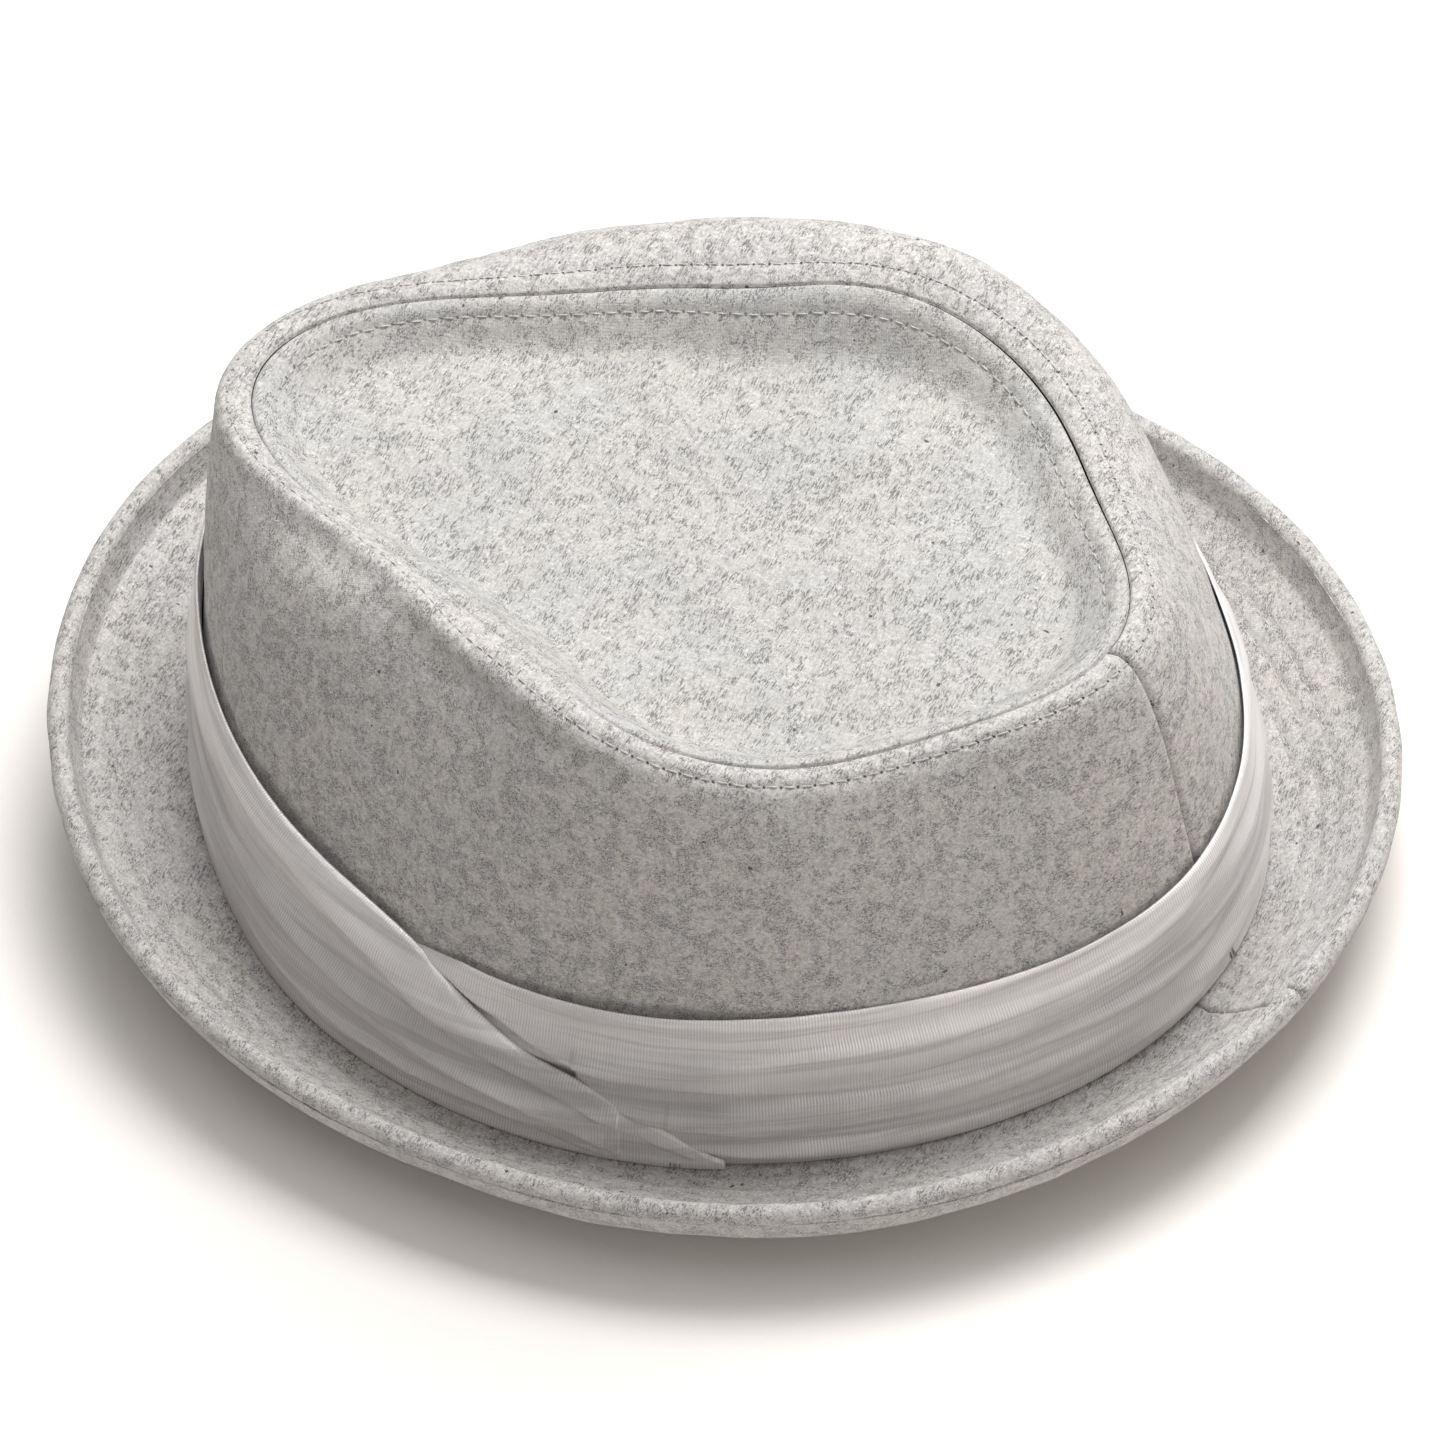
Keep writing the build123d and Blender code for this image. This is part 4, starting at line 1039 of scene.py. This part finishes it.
def thread(name, colour, ply=2600.0):
    m, nt, bs = new_material(name)
    g = Net(nt)
    P = g.coords()
    w = g.node("ShaderNodeTexWave", wave_type="BANDS", bands_direction="DIAGONAL")
    nt.links.new(P, w.inputs["Vector"])
    w.inputs["Scale"].default_value = ply / 6.283
    w.inputs["Distortion"].default_value = 1.5
    n = g.noise(P, 1800, 2, 0.5)
    c = g.mix(g.ramp(n, 0.3, 0.7), rgb(*[x * 0.72 for x in colour]), rgb(*[min(1, x * 1.12) for x in colour]))
    c = g.mix(g.math("MULTIPLY", w.outputs["Fac"], 0.25), c, rgb(*[x * 0.5 for x in colour]))
    nt.links.new(c, bs.inputs["Base Color"])
    bs.inputs["Roughness"].default_value = 0.6
    bs.inputs["Specular IOR Level"].default_value = 0.3
    bs.inputs["Sheen Weight"].default_value = 0.2
    nt.links.new(g.bump(w.outputs["Fac"], 0.5, 0.0001), bs.inputs["Normal"])
    return m


def satin(name, colour, rib=0.60, rough=0.30, gloss=0.55):
    """Ribbed satin: fine cross ribs run up the strip, long soft floats along it, with painted highlight and painted
    shade of soft pleats in its colour.
    """
    m, nt, bs = new_material(name)
    g = Net(nt)
    uvv, u, v = g.uv()
    wob = g.noise(g.mapping(uvv, scale=(0.03, 0.10, 1)), 1.0, 3, 0.55)
    ph = g.math("ADD", g.math("MULTIPLY", u, TWO_PI / rib), g.math("MULTIPLY", wob, 6.0))
    ribs = g.math("ADD", g.math("MULTIPLY", g.math("SINE", ph), 0.5), 0.5)
    slub = g.noise(g.mapping(uvv, scale=(1.8, 0.12, 1)), 1.0, 2, 0.5)
    warp = g.noise(g.mapping(uvv, scale=(0.05, 3.5, 1)), 1.0, 2, 0.5)
    # Soft lighter and darker patches: painted highlight and painted shade on the satin; the ribs show most where it is
    # lighter.
    sheen_and_shade_clouds = g.noise(g.mapping(uvv, scale=(0.05, 0.16, 1)), 1.0, 4, 0.6)
    fine = g.noise(g.mapping(uvv, scale=(4.5, 2.0, 1)), 1.0, 3, 0.6)
    show = g.ramp(sheen_and_shade_clouds, 0.38, 0.60, 0.45, 1.0)
    c = g.mix(g.ramp(sheen_and_shade_clouds, 0.34, 0.66), rgb(*[x * 0.90 for x in colour]), rgb(*[min(1, x * 1.06) for x in colour]))
    # Long dark streaks along the strip: painted shade of soft pleats.
    fold = g.noise(g.mapping(uvv, scale=(0.014, 0.34, 1)), 1.0, 3, 0.6)
    c = g.mix(g.math("MULTIPLY", g.ramp(fold, 0.46, 0.62), 0.50), c, rgb(*[x * 0.55 for x in colour]))
    c = g.mix(g.math("MULTIPLY", g.ramp(slub, 0.50, 0.68), 0.12), c, rgb(*[x * 0.62 for x in colour]))
    c = g.mix(g.math("MULTIPLY", g.math("MULTIPLY", g.math("SUBTRACT", 1.0, ribs), show), 0.46), c, rgb(*[x * 0.42 for x in colour]))
    c = g.mix(g.math("MULTIPLY", g.ramp(warp, 0.50, 0.66), 0.10), c, rgb(*[min(1, x * 1.25) for x in colour]))
    c = g.mix(g.math("MULTIPLY", g.ramp(fine, 0.48, 0.66), 0.20), c, rgb(*[min(1, x * 1.3) for x in colour]))
    nt.links.new(c, bs.inputs["Base Color"])
    r = g.ramp(fine, 0.3, 0.7, rough - 0.04, rough + 0.10)
    nt.links.new(r, bs.inputs["Roughness"])
    bs.inputs["Metallic"].default_value = gloss
    bs.inputs["Anisotropic"].default_value = 0.8
    bs.inputs["Anisotropic Rotation"].default_value = 0.25
    nt.links.new(g.node("ShaderNodeTangent", direction_type="RADIAL", axis="Z").outputs[0], bs.inputs["Tangent"])
    bs.inputs["Specular IOR Level"].default_value = 0.6
    bs.inputs["Sheen Weight"].default_value = 0.20
    bs.inputs["Sheen Roughness"].default_value = 0.35
    bs.inputs["Sheen Tint"].default_value = (0.97, 0.96, 0.95, 1)
    height = g.math("ADD", g.math("MULTIPLY", ribs, 0.50), g.math("ADD", g.math("MULTIPLY", slub, 0.35), g.math("MULTIPLY", warp, 0.30)))
    height = g.math("ADD", height, g.math("MULTIPLY", fine, 0.25))
    nt.links.new(g.bump(height, 0.42, 0.00012), bs.inputs["Normal"])
    return m


def twill(name, colour, pitch=0.9, rough=0.8):
    m, nt, bs = new_material(name)
    g = Net(nt)
    uvv, u, v = g.uv()
    a = g.math("SINE", g.math("MULTIPLY", g.math("ADD", u, v), TWO_PI / pitch))
    b = g.math("SINE", g.math("MULTIPLY", g.math("SUBTRACT", u, g.math("MULTIPLY", v, 2.2)), TWO_PI / (pitch * 0.62)))
    weave = g.math("ADD", g.math("MULTIPLY", g.math("ADD", g.math("MULTIPLY", a, 0.6), g.math("MULTIPLY", b, 0.4)), 0.5), 0.5)
    n = g.noise(g.coords(), 1300, 3, 0.6)
    big = g.noise(g.coords(), 60, 3, 0.5)
    c = g.mix(g.ramp(weave, 0.15, 0.85), rgb(*[x * 0.62 for x in colour]), rgb(*[min(1, x * 1.18) for x in colour]))
    c = g.mix(g.math("MULTIPLY", g.ramp(n, 0.4, 0.7), 0.35), c, rgb(*[x * 0.7 for x in colour]))
    c = g.mix(g.math("MULTIPLY", g.ramp(big, 0.4, 0.7), 0.15), c, rgb(*[min(1, x * 1.3) for x in colour]))
    nt.links.new(c, bs.inputs["Base Color"])
    bs.inputs["Roughness"].default_value = rough
    bs.inputs["Specular IOR Level"].default_value = 0.25
    bs.inputs["Sheen Weight"].default_value = 0.15
    nt.links.new(g.bump(g.math("ADD", weave, g.math("MULTIPLY", n, 0.4)), 0.5, 0.00018), bs.inputs["Normal"])
    return m


def nonwoven(name, colour):
    m, nt, bs = new_material(name)
    g = Net(nt)
    P = g.coords()
    a = g.noise(g.mapping(P, scale=(400, 2400, 2400), rot=(0.4, 0.9, 0.2)), 1.0, 2, 0.5)
    b = g.noise(g.mapping(P, scale=(2400, 400, 2400), rot=(0.9, 0.2, 1.2)), 1.0, 2, 0.5)
    h = g.math("MAXIMUM", a, b)
    c = g.mix(g.ramp(h, 0.4, 0.75), rgb(*[x * 0.78 for x in colour]), rgb(*colour))
    nt.links.new(c, bs.inputs["Base Color"])
    bs.inputs["Roughness"].default_value = 0.9
    nt.links.new(g.bump(h, 0.4, 0.0002), bs.inputs["Normal"])
    return m


SIDE_HOLES = [(TOPSTITCH, 0.0)]
felt_side = felt("felt_side", SIDE_HOLES, light=(0.672, 0.646, 0.620), heathery=1.60)
felt_tip = felt("felt_tip", SIDE_HOLES, weave="flat", hole_shade_and_depth=0.55)
felt_brim = felt("felt_brim", [(ra, 0.37 * k) for k, ra in enumerate(rows_at)], light=(0.645, 0.622, 0.600), hole_shade_and_depth=0.28, heathery=1.35)
felt_thread = thread("felt_thread", (0.56, 0.545, 0.525))
band_satin = satin("band_satin", (0.95, 0.91, 0.895), rough=0.44, gloss=0.62)
lining_satin = satin("lining_satin", (0.20, 0.20, 0.21), rib=0.35, rough=0.32, gloss=0.15)
sweat_cloth = twill("sweatband_twill", (0.085, 0.085, 0.092))
stay_cloth = twill("stay_ribbon", (0.24, 0.235, 0.23), 0.7)
label_cloth = twill("label_tape", (0.74, 0.74, 0.725), 0.55, 0.6)
dark_thread = thread("lining_thread", (0.12, 0.12, 0.125))
band_thread = thread("band_thread", (0.33, 0.32, 0.315))
stiff_cloth = nonwoven("stiffener", (0.80, 0.80, 0.78))

for ob, mat, node, slot in (
        (crown_side, felt_side, "crown_side_panel", "felt"), (crown_tip, felt_tip, "crown_tip_panel", "felt"),
        (brim_top, felt_brim, "brim_top_panel", "felt"), (brim_under, felt_brim, "brim_under_panel", "felt"),
        (crown_row, felt_thread, "tip_topstitch_outer", "felt_thread"), (tip_row, felt_thread, "tip_topstitch_inner", "felt_thread"),
        (brim_rows, felt_thread, "brim_topstitch_threads", "felt_thread"),
        (tip_stiff, stiff_cloth, "crown_tip_stiffener", "stiffener"), (side_stiff, stiff_cloth, "crown_side_stiffener", "stiffener"),
        (core, stiff_cloth, "brim_interlining", "stiffener"),
        (tip_lining, lining_satin, "crown_tip_lining", "lining_satin"), (side_lining, lining_satin, "crown_side_lining", "lining_satin"),
        (sweat, sweat_cloth, "sweatband", "sweatband_cloth"), (sweat_row, dark_thread, "sweatband_stitch_thread", "lining_thread"),
        (lining_row, dark_thread, "lining_seam_thread", "lining_thread"),
        (hatband, band_satin, "hatband", "band_satin"), (stay_strip, stay_cloth, "hatband_backing", "stay_ribbon"),
        (tack_ob, band_thread, "hatband_tack_stitches", "band_thread"),
        (label, label_cloth, "care_label", "label_tape")):
    ob.data.materials.append(mat)
    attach(ob, FLAP if node == "care_label" else HAT)
    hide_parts(node)

# ------------------------------------------------------------------ floor, light and camera
me = bpy.data.meshes.new("floor")
R = 6.0
me.from_pydata([(-R, -R, 0), (R, -R, 0), (R, R, 0), (-R, R, 0)], [], [(0, 1, 2, 3)])
floor = bpy.data.objects.new("floor", me)
bpy.context.scene.collection.objects.link(floor)
mat, nt, bs = new_material("floor_paper")
bs.inputs["Base Color"].default_value = (0.97, 0.93, 0.89, 1)
bs.inputs["Roughness"].default_value = 0.9
me.materials.append(mat)

AZ, EL, ROLL = math.radians(116.179), math.radians(49.046), math.radians(-1.2443)
DIST, SCALE, TX, TY = 1856.96, 5.20134, -0.941, 14.910
back = np.array([math.sin(AZ) * math.cos(EL), -math.cos(AZ) * math.cos(EL), math.sin(EL)])
right = np.array([math.cos(AZ), math.sin(AZ), 0.0])
upv = np.cross(back, right)
c, s = math.cos(ROLL), math.sin(ROLL)
r2, u2 = c * right + s * upv, -s * right + c * upv
eye = TX * r2 + TY * u2 + DIST * back
eye_m = settle(eye)
back, r2, u2 = turn(back), turn(r2), turn(u2)
cam_data = bpy.data.cameras.new("camera")
cam = bpy.data.objects.new("camera", cam_data)
bpy.context.scene.collection.objects.link(cam)
M = Matrix.Identity(4)
for i in range(3):
    M[i][0], M[i][1], M[i][2], M[i][3] = r2[i], u2[i], back[i], eye_m[i]
cam.matrix_world = M
cam_data.sensor_width = 36.0
cam_data.lens = DIST * SCALE / 1445.0 * 36.0
cam_data.clip_start, cam_data.clip_end = 0.05, 50.0
bpy.context.scene.camera = cam

world = bpy.data.worlds.new("studio")
bpy.context.scene.world = world
world.use_nodes = True
world.node_tree.nodes["Background"].inputs["Color"].default_value = (0.98, 0.99, 1.0, 1)
world.node_tree.nodes["Background"].inputs["Strength"].default_value = 0.165
wt = world.node_tree
paper = wt.nodes.new("ShaderNodeBackground")
paper.inputs["Color"].default_value = (1, 1, 1, 1)
paper.inputs["Strength"].default_value = 1.0
ray = wt.nodes.new("ShaderNodeLightPath")
either = wt.nodes.new("ShaderNodeMixShader")
wt.links.new(ray.outputs["Is Camera Ray"], either.inputs[0])
wt.links.new(wt.nodes["Background"].outputs[0], either.inputs[1])
wt.links.new(paper.outputs[0], either.inputs[2])
wt.links.new(either.outputs[0], wt.nodes["World Output"].inputs["Surface"])


def area_light(name, place, target, size, power, colour=(1, 1, 1)):
    ld = bpy.data.lights.new(name, "AREA")
    ld.shape = "SQUARE"
    ld.size = size
    ld.energy = power
    ld.color = colour
    lo = bpy.data.objects.new(name, ld)
    bpy.context.scene.collection.objects.link(lo)
    lo.location = place
    lo.rotation_mode = "QUATERNION"
    lo.rotation_quaternion = (Vector(target) - Vector(place)).to_track_quat("-Z", "Y")
    return lo


area_light("softbox_far_side", (-0.50, 0.03, 1.02), (0, 0, 0.06), 0.8, 15.1)
area_light("softbox_above", (0.0, 0.1, 1.9), (0, 0, 0.05), 1.8, 12)
area_light("fill_side", (0.75, 1.35, 0.75), (0, 0, 0.05), 1.0, 3.6, (1.0, 0.94, 0.90))

sc = bpy.context.scene
sc.view_settings.view_transform = "Standard"
sc.view_settings.look = "None"
